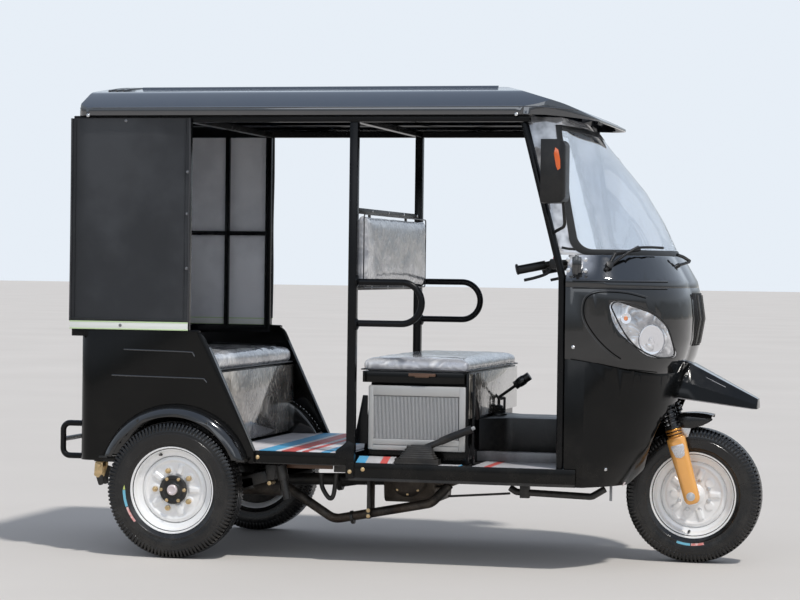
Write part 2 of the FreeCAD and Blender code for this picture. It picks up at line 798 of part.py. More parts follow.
for y in (spring_y0 - 5, spring_y1):
    plates.append(side_plate([(spring_half_length - 22, rail_low, 0),
                              (spring_half_length - 22, eye_z - 22, 16),
                              (spring_half_length + 22, eye_z - 22, 16),
                              (spring_half_length + 22, rail_low, 0)], y, y + 5))
    plates.append(side_plate([(-spring_half_length - 22, rail_low, 0),
                              (-spring_half_length - 22, eye_z - 22, 16),
                              (-spring_half_length + 22, eye_z - 22, 16),
                              (-spring_half_length + 22, rail_low, 0)], y, y + 5))
ubolts = [rod((x, y, leaf_top - leaf_count * leaf_thick - 8), (x, y, hub_z), 5)
          for x in (-40, 40) for y in (spring_y0 - 3, spring_y1 + 3)]
saddle = box(-46, 46, spring_y0 - 4, spring_y1 + 4, leaf_top - 1, hub_z)
saddle = saddle.cut(rod((0, -axle_end_y, hub_z), (0, 0, hub_z), axle_tube_radius))
damper = rod((damper_x, -rail_y, rail_low), (damper_x + 22, -rail_y, damper_low_z), damper_radius)
damper_arm = side_plate([(spring_half_length, eye_z + 10, 0), (damper_x + 30, damper_low_z + 26, 0),
                         (damper_x + 30, damper_low_z + 2, 0), (spring_half_length, eye_z - 12, 0)],
                        spring_y0, spring_y1)
spring = leaves[0].multiFuse(leaves[1:] + eyes + plates + [clamp, damper, damper_arm])
spring = spring.multiFuse(ubolts + [saddle])
parts["rear_suspension"] = both_sides(spring)

# Exhaust: front pipe below the sill, clamp, hanger and silencer

exhaust_rows = [
    # station, y, height, bend radius
    (exhaust_front_x, exhaust_y, 290, 0),
    (exhaust_front_x - 70, exhaust_y, 216, 60),
    (560, exhaust_y, 140, 70),
    (455, exhaust_y, 205, 60),
    (silencer_front_x + 5, exhaust_y, 268, 0),
]
exhaust_pipe = bent_tube(exhaust_rows, exhaust_radius)
silencer = rod((silencer_front_x, exhaust_y, 268), (silencer_rear_x, exhaust_y, 268), 44)
hanger_x = step_x + sheet + 1
hanger = box(hanger_x, hanger_x + 28, exhaust_y - 4, exhaust_y + 4, 172,
             front_rail_top - rail_depth)
silencer_strap = box(silencer_front_x - 60, silencer_front_x - 40, exhaust_y - 3, exhaust_y + 3, 300,
                     rear_rail_top)
parts["exhaust"] = join([exhaust_pipe, silencer, hanger, silencer_strap])

# Rear bumper hoops with a cross tube, and tail lamps

bumper_hoop = bent_tube([
    (tub_rear_x, -bumper_y, bumper_high_z, 0),
    (bumper_x, -bumper_y, bumper_high_z, 28),
    (bumper_x, -bumper_y, bumper_low_z, 28),
    (tub_rear_x, -bumper_y, bumper_low_z, 0),
], bumper_radius)
bumper_bar = rod((bumper_x, -bumper_y, bumper_bar_z), (bumper_x, bumper_y, bumper_bar_z),
                 bumper_radius - 2)
parts["rear_bumper"] = join([bumper_hoop, other_side(bumper_hoop), bumper_bar])
tail_lamp = box(tub_rear_x - 26, tub_rear_x, -tub_seam_y + 10, -tub_seam_y + 100, 690, 830)
tail_lamp = tail_lamp.makeFillet(10, [e for e in tail_lamp.Edges
                                      if e.BoundBox.XMax < tub_rear_x - 1])
parts["tail_lamps"] = both_sides(tail_lamp)

# Roof: meeting of a side, a plan and a front outline, hollowed to a pressed shell


def roof_solid(inset, floor_z):
    side = side_plate([
        (roof_rear_x + inset, floor_z, 0),
        (roof_rear_x + 14 + inset, roof_lip_z + 42, 20),
        (roof_rear_x + 58 + inset, roof_top_z - inset, 36),
        (1190 - inset, roof_top_z - inset, 420),
        (1500 - inset, roof_top_z - roof_brow_drop - inset, 300),
        (roof_tip_x - 2 * inset, roof_lip_z - roof_tip_drop + 8 - inset, 0),
        (roof_tip_x - 2 * inset, roof_lip_z - roof_tip_drop - inset, 0),
        (1430, floor_z - inset, 0),
    ], -700, 700)
    half = roof_half_width - inset
    front = front_plate([
        (-half, floor_z - 60, 0),
        (-half, roof_lip_z + 30, 12),
        (-half + 76, roof_top_z - shoulder_drop - inset, 50),
        (0, roof_top_z + crown_rise - inset, crown_radius),
        (half - 76, roof_top_z - shoulder_drop - inset, 50),
        (half, roof_lip_z + 30, 12),
        (half, floor_z - 60, 0),
    ], -600, 1800)
    plan = plan_plate([
        (roof_rear_x + inset, -half, 60),
        (roof_tip_x - inset, -half, roof_corner_radius),
        (roof_tip_x - inset, half, roof_corner_radius),
        (roof_rear_x + inset, half, 60),
    ], 1500, 2000)
    return side.common(front).common(plan)


roof_outer = roof_solid(0, roof_lip_z)
roof_inner = roof_solid(roof_sheet, roof_lip_z - 20)
roof = roof_outer.cut(roof_inner)
lip_ring = plan_plate([(roof_rear_x + 2, -roof_half_width + 2, 58),
                       (front_header_x, -roof_half_width + 2, 0),
                       (front_header_x, roof_half_width - 2, 0),
                       (roof_rear_x + 2, roof_half_width - 2, 58)], roof_lip_z, roof_lip_z + sheet)
lip_hole = box(rear_frame_x + tube_size - 10, front_header_x - tube_size + 10,
               -rail_inner - 8, rail_inner + 8, roof_lip_z - 1, roof_lip_z + sheet + 1)
parts["roof_shell"] = roof.fuse(lip_ring.cut(lip_hole))

# Curtains hung outside the rear frames

curtain_in = tub_half_width + soft_gap
side_curtain = box(curtain_rear_x, curtain_front_x, -curtain_in - curtain_thick, -curtain_in,
                   curtain_bottom_z, curtain_top_z)
hem = box(rear_frame_x + 2, curtain_front_x, -curtain_in, -tub_inner - soft_gap,
          rail_top_z - tube_size, curtain_top_z)
parts["side_curtains"] = both_sides(side_curtain.fuse(hem))
rear_window = box(curtain_rear_x - 1, curtain_rear_x + curtain_thick + 1, -window_half_width,
                  window_half_width, window_low_z, window_high_z)
rear_curtain = box(curtain_rear_x, curtain_rear_x + curtain_thick, -curtain_in + 0.1,
                   curtain_in - 0.1, curtain_bottom_z, curtain_top_z)
parts["rear_curtain"] = rear_curtain.cut(rear_window)
parts["rear_window"] = box(curtain_rear_x + 2, curtain_rear_x + 4, -window_half_width,
                           window_half_width, window_low_z, window_high_z)

# Front body: lofted shells whose plans are straight at the sides and round at the nose


def plan_section(z, nose_x, half_width, side_x, rear_x, bulge, nose_half):
    """Closed plan outline at height z."""
    shoulder_x = nose_x - nose_setback
    via_x = side_x + (shoulder_x - side_x) * bulge
    via_y = nose_half + (half_width - nose_half) * bulge
    right_side = V(side_x, -half_width, z)
    right_nose = V(shoulder_x, -nose_half, z)
    left_nose = V(shoulder_x, nose_half, z)
    left_side = V(side_x, half_width, z)
    return Part.Wire([
        Part.LineSegment(V(rear_x, -half_width, z), right_side).toShape(),
        Part.Arc(right_side, V(via_x, -via_y, z), right_nose).toShape(),
        Part.Arc(right_nose, V(nose_x, 0, z), left_nose).toShape(),
        Part.Arc(left_nose, V(via_x, via_y, z), left_side).toShape(),
        Part.LineSegment(left_side, V(rear_x, half_width, z)).toShape(),
        Part.LineSegment(V(rear_x, half_width, z), V(rear_x, -half_width, z)).toShape(),
    ])


def body_loft(rows, inset, rear_x, bulge):
    """Solid through plan sections, each row being (z, nose station, half width, side station)."""
    sections = [plan_section(z, nose_x - inset, half_width - inset, side_x, rear_x, bulge,
                             nose_half_width - inset / 2)
                for z, nose_x, half_width, side_x in rows]
    return Part.makeLoft(sections, True, True)


def body_shell(rows, thickness, bulge):
    outer = body_loft(rows, 0, cowl_rear_x, bulge)
    return outer.cut(body_loft(rows, thickness, cowl_rear_x - 40, bulge))


cowl_rows = [
    # z, nose station, half width, side station
    (742, 1908, 538, 1590),
    (800, 1934, 542, 1592),
    (870, 1953, 545, 1596),
    (945, 1958, 545, 1600),
    (1020, 1951, 545, 1598),
    (cowl_split_z, 1938, 545, 1595),
]
cowl_trim = side_plate([(1500, 600, 0), (1500, 798, 0), (1640, 783, 0), (1760, 757, 60),
                        (1840, 742, 0), (2000, 742, 0), (2000, 600, 0)], -600, 600)
lamp_rows = [
    # station, height, corner radius
    (1668, 1028, 22),
    (1866, 954, 130),
    (1904, 800, 16),
    (1812, 800, 90),
    (1690, 915, 150),
]
lamp_prism = side_plate(lamp_rows, -600, -lamp_inner_y)
lamp_prisms = both_sides(lamp_prism)
cowl_loft = body_loft(cowl_rows, 0, cowl_rear_x, cowl_bulge)
cowl = cowl_loft.cut(body_loft(cowl_rows, skin, cowl_rear_x - 40, cowl_bulge))
grille_hole = box(1880, 2000, -grille_half_width, grille_half_width, grille_low_z, grille_high_z)
parts["front_cowl"] = cowl.cut(cowl_trim).cut(lamp_prisms).cut(grille_hole)
lamp_back = plan_plate([(1560, -525, 0), (1650, -500, 0), (1780, -420, 0), (1895, -205, 0),
                        (1895, -100, 0), (1560, -100, 0)], 700, 1100)
parts["headlamps"] = both_sides(lamp_prism.common(cowl_loft).cut(lamp_back))

# Grille: upright slats with a kink, on a back plate inside the nose

slat_pitch = 2 * grille_half_width / (slat_count + 1)
slats = [box(grille_back_x, grille_back_x + sheet, -grille_half_width, grille_half_width,
             grille_low_z, grille_high_z)]
for i in range(slat_count):
    y = -grille_half_width + slat_pitch * (i + 1)
    setback = nose_setback * (y / nose_half_width) ** 2
    slats.append(side_plate([(grille_back_x, grille_low_z + soft_gap, 0),
                             (1946 - setback, grille_low_z + soft_gap, 0),
                             (1964 - setback, 945, 10),
                             (1950 - setback, grille_high_z - soft_gap, 0),
                             (grille_back_x, grille_high_z - soft_gap, 0)],
                            y - slat_thick / 2, y + slat_thick / 2))
parts["grille"] = join(slats)

top_rows = [
    (cowl_split_z, 1938, 549, 1595),
    (cowl_split_z + 24, 1932, 549, 1594),
    (cowl_top_end_z, 1878, 486, 1570),
]
parts["cowl_top"] = body_shell(top_rows, skin, cowl_bulge)

shield_rows = [
    (shield_bottom_z, 1760, 538, 1585),
    (465, 1862, 540, 1585),
    (620, 1900, 541, 1588),
    (800, 1915, 541, 1590),
]
shield_front = side_plate([(1722, shield_bottom_z - 1, 0), (1772, 372, 60), (1806, 470, 200),
                           (1836, 552, 80), (1884, 640, 60), (1990, 660, 0),
                           (1990, shield_bottom_z - 1, 0)], -600, 600)
shield_keep = side_plate([(1500, shield_bottom_z - 1, 0), (1500, 798, 0), (1640, 783, 0),
                          (1760, 757, 60), (1840, 742, 0), (2000, 742, 0),
                          (2000, shield_bottom_z - 1, 0)], -600, 600)
shield = body_shell(shield_rows, skin, shield_bulge)
parts["leg_shield"] = shield.common(shield_keep).cut(shield_front)

# Bulkhead with a shelf, steering hole and instrument pod, and the tunnel on the floor

bulkhead = box(bulkhead_x, bulkhead_x + sheet, -cowl_half_width + 10, cowl_half_width - 10,
               front_floor_z - front_sill_depth + 2, shelf_z)
shelf_plan = [(z, nose_x - skin, half_width - skin, side_x) for z, nose_x, half_width, side_x in
              ((shelf_z - sheet, 1936, 545, 1595), (shelf_z, 1936, 545, 1595))]
shelf = body_loft(shelf_plan, 1, bulkhead_x, cowl_bulge)
pod = box(1735, 1835, -150, 150, shelf_z - 1, shelf_z + pod_height)
pod = pod.makeFillet(18, [e for e in pod.Edges if e.BoundBox.ZMin > shelf_z + pod_height - 1])
stem_room = Part.makeCylinder(stem_radius + head_wall + 3, 400, head_high - head_axis * 200, head_axis)
parts["dashboard"] = join([bulkhead, shelf, pod]).cut(stem_room).cut(both_sides(pillar))
parts["dashboard"] = parts["dashboard"].cut(brace)
tunnel_rows = [
    (seat_box_front_x, -tunnel_half_width - 80, 0),
    (seat_box_front_x + 100, -tunnel_half_width, 60),
    (bulkhead_x, -tunnel_half_width, 0),
    (bulkhead_x, tunnel_half_width, 0),
    (seat_box_front_x + 100, tunnel_half_width, 60),
    (seat_box_front_x, tunnel_half_width + 80, 0),
]
tunnel_inner_rows = [
    (seat_box_front_x - 1, -tunnel_half_width - 77, 0),
    (seat_box_front_x + 100, -tunnel_half_width + sheet, 57),
    (bulkhead_x + 1, -tunnel_half_width + sheet, 0),
    (bulkhead_x + 1, tunnel_half_width - sheet, 0),
    (seat_box_front_x + 100, tunnel_half_width - sheet, 57),
    (seat_box_front_x - 1, tunnel_half_width + 77, 0),
]
tunnel = plan_plate(tunnel_rows, front_floor_z, front_floor_z + tunnel_height)
tunnel = tunnel.cut(plan_plate(tunnel_inner_rows, front_floor_z - 1,
                               front_floor_z + tunnel_height - sheet))
parts["tunnel_cover"] = tunnel

# Windscreen: one curved shell, divided into glass, rubber seal and painted surround


def screen_section(z, pillar_at, side_x, nose_x, inset):
    half = screen_side_y - inset
    edge = pillar_y - inset
    nose = nose_x - inset
    back = pillar_at - 60 * (inset > 0)
    return Part.Wire([
        Part.LineSegment(V(pillar_at, -edge, z), V(side_x, -half, z)).toShape(),
        Part.Arc(V(side_x, -half, z), V(nose, 0, z), V(side_x, half, z)).toShape(),
        Part.LineSegment(V(side_x, half, z), V(pillar_at, edge, z)).toShape(),
        Part.LineSegment(V(pillar_at, edge, z), V(back, edge, z)).toShape()
        if inset > 0 else Part.LineSegment(V(pillar_at, edge, z), V(pillar_at, 0, z)).toShape(),
        Part.LineSegment(V(back, edge, z), V(back, -edge, z)).toShape()
        if inset > 0 else Part.LineSegment(V(pillar_at, 0, z), V(pillar_at, -edge, z)).toShape(),
    ] + ([Part.LineSegment(V(back, -edge, z), V(pillar_at, -edge, z)).toShape()]
         if inset > 0 else []))


screen_rows = [
    # z, station at the pillar, station at the side, nose station
    (cowl_top_end_z, 1487, 1560, 1864),
    (1316, 1451, 1533, 1801),
    (1435, 1417, 1507, 1727),
    (1564, 1380, 1489, 1617),
    (rail_top_z - 4, 1342, 1474, 1500),
]


def screen_loft(inset):
    return Part.makeLoft([screen_section(z, pillar_at, side_x, nose_x, inset)
                          for z, pillar_at, side_x, nose_x in screen_rows], True, True)


def screen_window(margin):
    return side_plate([(1477 - margin, screen_glass_top_z + margin, 0),
                       (1513 - margin, 1385, 0),
                       (1549 - margin, cowl_top_end_z + seal_width - margin, 60 + margin / 2),
                       (1950, cowl_top_end_z + seal_width - margin, 0),
                       (1950, screen_glass_top_z + margin, 0)], -600, 600)


screen_shell = screen_loft(0).cut(screen_loft(glass_thick))
parts["windscreen"] = screen_shell.common(screen_window(0))
pillar_pair = both_sides(pillar)
frame_shell = screen_shell.cut(screen_window(seal_width))
parts["windscreen_frame"] = largest_of(frame_shell.cut(pillar_pair).cut(parts["roof_frame"]))
seal_ring = screen_window(seal_width).cut(screen_window(0))
parts["windscreen_seal"] = screen_loft(-3).cut(screen_loft(glass_thick + 3)).common(seal_ring)

# Wiper, nose beak and mirrors

wiper_foot = (1662, -484, 1140)
wiper_bend = (1684, -452, 1192)
wiper_tip = (1760, -345, 1207)
wiper = join([rod((1652, -470, 1130), (1672, -500, 1150), 14), rod(wiper_foot, wiper_bend, 7),
              rod(wiper_bend, wiper_tip, 6)])
parts["wiper"] = wiper.cut(body_loft(top_rows, 0, cowl_rear_x, cowl_bulge))

beak_rows = [
    # station, half width at the foot, foot z, shoulder half width, shoulder z, top z
    (1856, 152, 648, 138, 712, 772),
    (1924, 142, 640, 128, 700, 774),
    (2180, 64, 602, 56, 618, 640),
]


def beak_section(x, foot, foot_z, shoulder, shoulder_z, top_z, inset):
    top_half = shoulder * 0.55
    rows = [
        (-foot + inset, foot_z - (1 if inset else 0), 0),
        (-shoulder + inset, shoulder_z, 0),
        (-top_half + inset / 2, top_z - inset, 0),
        (top_half - inset / 2, top_z - inset, 0),
        (shoulder - inset, shoulder_z, 0),
        (foot - inset, foot_z - (1 if inset else 0), 0),
    ]
    return rounded_wire([(x, y, z, r) for y, z, r in rows], True)


beak = Part.makeLoft([beak_section(*row, 0) for row in beak_rows], True, True)
inner_rows = [(1850,) + beak_rows[0][1:], beak_rows[1], (2176,) + beak_rows[2][1:]]
beak = beak.cut(Part.makeLoft([beak_section(*row, skin) for row in inner_rows], True, True))
cowl_solid = body_loft(cowl_rows, 0, cowl_rear_x, cowl_bulge)
shield_solid = body_loft(shield_rows, 0, cowl_rear_x, shield_bulge)
parts["nose_beak"] = beak.cut(cowl_solid).cut(shield_solid)

mirror_case = box(1440, 1530, -690, -560, 1372, 1605)
mirror_case = mirror_case.makeFillet(30, [e for e in mirror_case.Edges
                                          if e.BoundBox.XMin > 1441])
mirror_foot_z = 1262.0
mirror_foot_x = pillar_x - (mirror_foot_z - pillar_bend_z) * (pillar_x - pillar_top_x) / (
    rail_top_z - tube_size - pillar_bend_z)
mirror_stem = bent_tube([(mirror_foot_x, -pillar_y, mirror_foot_z, 0), (1518, -598, 1288, 24),
                         (1512, -612, 1380, 0)], 6)
mirror = mirror_case.fuse(mirror_stem).cut(pillar)
parts["mirrors"] = both_sides(mirror)

# Steering: fork, handlebar and front mudguard turn together about the raked axis

steer_foot = V(axis_x(yoke_height), 0, yoke_height)
stem_top_z = handlebar_height
stem_top = V(axis_x(stem_top_z), 0, stem_top_z)
stem = Part.makeCylinder(stem_radius, (stem_top - steer_foot).Length, steer_foot, head_axis)
yoke = box(-42, 42, -fork_leg_y - 32, fork_leg_y + 32, -yoke_thick / 2, yoke_thick / 2)
yoke.rotate(V(0, 0, 0), V(0, 1, 0), -rake_deg)
yoke.translate(V((leg_x(yoke_height) + axis_x(yoke_height)) / 2, 0, yoke_height))
fork_pieces = [stem, yoke]
for side in (-1, 1):
    foot = V(leg_x(hub_z), side * fork_leg_y, hub_z)
    top = V(leg_x(yoke_height), side * fork_leg_y, yoke_height)
    fork_pieces.append(rod(tuple(foot), tuple(top), fork_tube_radius))
    lower = box(-fork_leg_width / 2, fork_leg_width / 2, -fork_leg_depth / 2, fork_leg_depth / 2,
                -32, leg_body_length)
    upright = [e for e in lower.Edges if e.BoundBox.ZLength > leg_body_length]
    lower = lower.makeFillet(fork_leg_depth / 2 - 4, upright)
    lower.rotate(V(0, 0, 0), V(0, 1, 0), -rake_deg)
    lower.translate(foot)
    fork_pieces.append(lower)
axle_reach = fork_leg_y + fork_leg_depth / 2 + 10
front_axle = rod((wheelbase, -axle_reach, hub_z), (wheelbase, axle_reach, hub_z), front_axle_radius)
fork_pieces.append(front_axle)
parts["fork"] = join(fork_pieces)

bar_x = axis_x(handlebar_height) - bar_setback
bar_rows = [
    # station, y, height, bend radius
    (bar_x, 0, handlebar_height, 0),
    (bar_x - 10, -bar_bend_y, handlebar_height + 12, 70),
    (bar_x - 172, -grip_bend_y, handlebar_height + 2, 70),
    (grip_end_x, -grip_end_y, handlebar_height - 26, 0),
]
bar = bent_tube(bar_rows, handlebar_radius)
grip_start = V(*bar_rows[2][:3]) + (V(*bar_rows[3][:3]) - V(*bar_rows[2][:3])) * 0.22
grip = rod(tuple(grip_start), bar_rows[3][:3], grip_radius)
clamp_block = box(bar_x - 20, axis_x(handlebar_height) + 24, -34, 34, handlebar_height - 14,
                  handlebar_height + 16)
parts["handlebar"] = join([bar, other_side(bar), grip, other_side(grip), clamp_block]).cut(stem)

guard_radius = tyre_radius + mudguard_gap
guard_section = [
    (-mudguard_width / 2, guard_radius + 22),
    (-mudguard_width / 2 + 14, guard_radius + 4 + 32),
    (mudguard_width / 2 - 14, guard_radius + 4 + 32),
    (mudguard_width / 2, guard_radius + 22),
    (mudguard_width / 2 - 3, guard_radius + 22),
    (mudguard_width / 2 - 16, guard_radius + 32),
    (-mudguard_width / 2 + 16, guard_radius + 32),
    (-mudguard_width / 2 + 3, guard_radius + 22),
]
guard_points = [V(wheelbase + 0, y, hub_z + radius) for y, radius in guard_section]
guard_face = Part.Face(Part.makePolygon(guard_points + guard_points[:1]))
guard_face.rotate(V(wheelbase, 0, hub_z), V(0, 1, 0), guard_front_deg)
guard = guard_face.revolve(V(wheelbase, 0, hub_z), V(0, -1, 0), guard_sweep_deg)
stay_radius = guard_radius + 33
stay_x = wheelbase - stay_radius * math.sin(rake)
stay_z = hub_z + stay_radius * math.cos(rake)
stay_half = fork_leg_y - fork_tube_radius - soft_gap
stay = rod((stay_x, -stay_half, stay_z), (stay_x, stay_half, stay_z), 9)
parts["front_mudguard"] = guard.cut(parts["fork"]).fuse(stay)

# Handbrake and gear lever on the floor

brake_y = brake_inset - tub_half_width
brake_base = box(868, 1036, brake_y, brake_y + 54, front_floor_z, front_floor_z + 24)
brake_boot = Part.makeLoft([
    rounded_wire([(x, brake_y + y, front_floor_z + 24, 12)
                  for x, y in ((886, 4), (1022, 4), (1022, 50), (886, 50))], True),
    rounded_wire([(x, brake_y + y, front_floor_z + 76, 8)
                  for x, y in ((926, 13), (1006, 13), (1006, 41), (926, 41))], True),
], True, True)
brake_lever = rod((965, brake_y + 27, front_floor_z + 60), (1160, brake_y + 27, front_floor_z + 140), 12)
parts["handbrake"] = join([brake_base, brake_boot, brake_lever])
tunnel_top = front_floor_z + tunnel_height
gear_rod = rod((1150, 40, tunnel_top), (1150, 40, tunnel_top + 72), 6)
gear_arm = rod((1150, 40, tunnel_top + 70), (1230, 40, tunnel_top + 128), 6)
gear_knob = rod((1215, 40, tunnel_top + 118), (1272, 40, tunnel_top + 158), 17)
gear_foot = box(1132, 1168, 22, 58, tunnel_top, tunnel_top + 8)
parts["gear_lever"] = join([gear_rod, gear_arm, gear_knob, gear_foot])

# The fork turns in an opening of the leg shield that the beak covers, and pieces stop at each other

fork_room = box(cowl_rear_x + 300, wheelbase + 60, -136, 136, yoke_height - 50, yoke_height + 54)
parts["leg_shield"] = parts["leg_shield"].cut(fork_room)
stops = [
    # piece that is cut away, piece that it stops against
    ("a_pillars", "roof_frame"),
    ("dashboard", "chassis_frame"),
    ("dashboard", "leg_shield"),
    ("mid_posts", "chassis_frame"),
    ("front_floor", "leg_shield"),
    ("rear_axle", "engine_block"),
    ("rear_seat_cushion", "tub_sides"),
]
for name, other in stops:
    parts[name] = parts[name].cut(parts[other])

# The origin moves below the middle of the part's box, and each piece is written

bounds = FreeCAD.BoundBox()
for shape in parts.values():
    bounds.add(shape.BoundBox)
middle_x = (bounds.XMin + bounds.XMax) / 2
os.makedirs("parts", exist_ok=True)
for name, shape in parts.items():
    moved = shape.copy()
    moved.translate(V(-middle_x, 0, 0))
    moved.exportStep("parts/" + name + ".step")
print("origin station", round(middle_x, 3), "box", bounds)
for name, shape in parts.items():
    if not shape.isValid() or not shape.Solids:
        print("INVALID", name, len(shape.Solids))
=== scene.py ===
import json
import math

import bmesh
import bpy
from mathutils import Matrix, Vector, noise
from mathutils.bvhtree import BVHTree

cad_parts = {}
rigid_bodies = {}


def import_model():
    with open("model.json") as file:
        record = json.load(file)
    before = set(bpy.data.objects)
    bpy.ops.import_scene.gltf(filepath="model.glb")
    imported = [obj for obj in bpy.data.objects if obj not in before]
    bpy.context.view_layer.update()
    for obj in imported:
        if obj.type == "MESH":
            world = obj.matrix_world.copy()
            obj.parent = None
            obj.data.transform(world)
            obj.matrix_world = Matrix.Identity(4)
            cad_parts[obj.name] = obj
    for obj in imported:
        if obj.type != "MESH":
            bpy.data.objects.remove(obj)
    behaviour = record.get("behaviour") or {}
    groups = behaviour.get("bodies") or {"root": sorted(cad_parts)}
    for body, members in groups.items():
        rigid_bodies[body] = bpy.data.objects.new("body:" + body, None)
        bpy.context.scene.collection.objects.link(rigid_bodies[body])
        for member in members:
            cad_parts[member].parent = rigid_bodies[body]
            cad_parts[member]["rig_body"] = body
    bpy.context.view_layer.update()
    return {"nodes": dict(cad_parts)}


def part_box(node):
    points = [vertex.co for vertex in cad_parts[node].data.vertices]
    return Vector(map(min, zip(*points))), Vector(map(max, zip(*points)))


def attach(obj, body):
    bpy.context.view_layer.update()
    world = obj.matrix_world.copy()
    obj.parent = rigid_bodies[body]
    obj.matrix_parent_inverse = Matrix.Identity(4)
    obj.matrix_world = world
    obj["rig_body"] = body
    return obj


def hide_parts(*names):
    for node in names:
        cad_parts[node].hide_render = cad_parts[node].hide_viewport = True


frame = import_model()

# Stations are in millimetres: X forward from the rear axle, Y to the left, Z up from the ground

TYRE_LOW, TYRE_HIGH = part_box("tyre_rear_right")
FRONT_LOW, FRONT_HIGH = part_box("tyre_front")
AXLE_X = (TYRE_LOW.x + TYRE_HIGH.x) / 2
HUB_Z = (TYRE_LOW.z + TYRE_HIGH.z) / 2 * 1000
WHEELBASE = ((FRONT_LOW.x + FRONT_HIGH.x) / 2 - AXLE_X) * 1000
TYRE_RADIUS = (TYRE_HIGH.z - TYRE_LOW.z) / 2 * 1000
REAR_WHEEL_Y = -(TYRE_LOW.y + TYRE_HIGH.y) / 2 * 1000
RAKE = math.radians(16)
SIDES = ((-1, "right"), (1, "left"))
# Rays that set trim on the sides start this far from the middle plane, in millimetres
BESIDE = 700
# Points closer than this, in metres, are merged
MERGE = 0.00001
CORNER_STEPS = 6


def at(x, y, z):
    """Point of the scene, in metres, for a station in millimetres."""
    return Vector((x / 1000 + AXLE_X, y / 1000, z / 1000))


# Node trees

FLOAT = "NodeSocketFloat"
COLOR = "NodeSocketColor"
VECTOR = "NodeSocketVector"
GEOMETRY = [("Geometry", "NodeSocketGeometry")]
MATERIAL = [("Material", "NodeSocketMaterial")]


def new_tree(kind, name, inputs, outputs):
    """Node group with its sockets, each row being (label, kind) and perhaps a value."""
    tree = bpy.data.node_groups.new(name, kind)
    for way, rows in (("INPUT", inputs), ("OUTPUT", outputs)):
        for label, socket_kind, *value in rows:
            socket = tree.interface.new_socket(name=label, in_out=way, socket_type=socket_kind)
            if value:
                socket.default_value = value[0]
    return tree, tree.nodes.new("NodeGroupInput"), tree.nodes.new("NodeGroupOutput")


def give(node, links):
    """Links or sets inputs of a node, by name or number."""
    for key, source in links.items():
        if hasattr(source, "is_output"):
            node.id_data.links.new(source, node.inputs[key])
        else:
            node.inputs[key].default_value = source
    return node


def add(tree, kind, links=(), **values):
    """New node of a tree, with its properties set and its inputs linked or given."""
    node = tree.nodes.new(kind)
    for key, value in values.items():
        setattr(node, key, value)
    return give(node, dict(links))


def maths(tree, operation, first, second=0.0, clamp=False):
    return add(tree, "ShaderNodeMath", {0: first, 1: second}, operation=operation, use_clamp=clamp).outputs[0]


def mixed(tree, factor, first, second):
    """Colour between two others, sockets or plain ones, by a factor."""
    links = {"Factor": factor, 6: first, 7: second}
    return add(tree, "ShaderNodeMix", links, data_type="RGBA").outputs[2]


def opaque(colour):
    return tuple(colour) + (1.0,)


def object_place(tree):
    return add(tree, "ShaderNodeTexCoord").outputs["Object"]


def place_axes(tree):
    return add(tree, "ShaderNodeSeparateXYZ", {0: object_place(tree)}).outputs


def speckle(tree, place, scale, detail=3.0, rough=0.55, distortion=0.0, **values):
    links = {"Vector": place, "Scale": scale, "Detail": detail, "Roughness": rough, "Distortion": distortion}
    return add(tree, "ShaderNodeTexNoise", links, **values).outputs["Fac"]


def cells(tree, place, scale, **values):
    return add(tree, "ShaderNodeTexVoronoi", {"Vector": place, "Scale": scale}, **values).outputs["Distance"]


def window(tree, value, low, high):
    """Smooth step of a value between two limits."""
    links = {0: value, 1: low, 2: high, 3: 0.0, 4: 1.0}
    return add(tree, "ShaderNodeMapRange", links, interpolation_type="SMOOTHSTEP").outputs[0]


def build_road_dust():
    tree, given, result = new_tree("ShaderNodeTree", "road dust", [("Colour", COLOR, (0.5, 0.5, 0.5, 1)),
        ("Dust colour", COLOR, (0.35, 0.31, 0.26, 1)), ("Overall", FLOAT, 0.04),
        ("Near the ground", FLOAT, 0.25), ("Patch scale", FLOAT, 9.0)], [("Colour", COLOR), ("Dust", FLOAT)])
    place = object_place(tree)
    height = add(tree, "ShaderNodeSeparateXYZ", {0: place}).outputs[2]
    low = add(tree, "ShaderNodeMapRange", {0: height, 1: 0.62, 2: 0.05, 3: 0.0, 4: 1.0}).outputs[0]
    patches = window(tree, speckle(tree, place, given.outputs["Patch scale"], 5.0, 0.65), 0.42, 0.68)
    grains = window(tree, speckle(tree, place, 260.0, 2.0), 0.40, 0.75)
    cover = maths(tree, "MULTIPLY", low, given.outputs["Near the ground"])
    cover = maths(tree, "ADD", cover, given.outputs["Overall"])
    texture = maths(tree, "ADD", maths(tree, "MULTIPLY", patches, 0.75),
        maths(tree, "MULTIPLY", grains, 0.35))
    dust = maths(tree, "MULTIPLY", cover, texture, True)
    colour = mixed(tree, dust, given.outputs["Colour"], given.outputs["Dust colour"])
    give(result, {"Colour": colour, "Dust": dust})
    return tree


def build_uneven_gloss():
    tree, given, result = new_tree("ShaderNodeTree", "uneven gloss", [("Smooth", FLOAT, 0.2),
        ("Rough", FLOAT, 0.4), ("Scale", FLOAT, 14.0), ("Dust", FLOAT, 0.0)], [("Roughness", FLOAT)])
    place = object_place(tree)
    broad = speckle(tree, place, given.outputs["Scale"], 6.0, 0.7)
    fine = speckle(tree, place, 170.0, 3.0, 0.6)
    blend = maths(tree, "ADD", maths(tree, "MULTIPLY", broad, 0.7), maths(tree, "MULTIPLY", fine, 0.3))
    spread = add(tree, "ShaderNodeMapRange", {0: blend, 1: 0.3, 2: 0.7, 3: given.outputs["Smooth"],
        4: given.outputs["Rough"]}).outputs[0]
    dusted = maths(tree, "ADD", spread, maths(tree, "MULTIPLY", given.outputs["Dust"], 0.5), True)
    give(result, {"Roughness": dusted})
    return tree


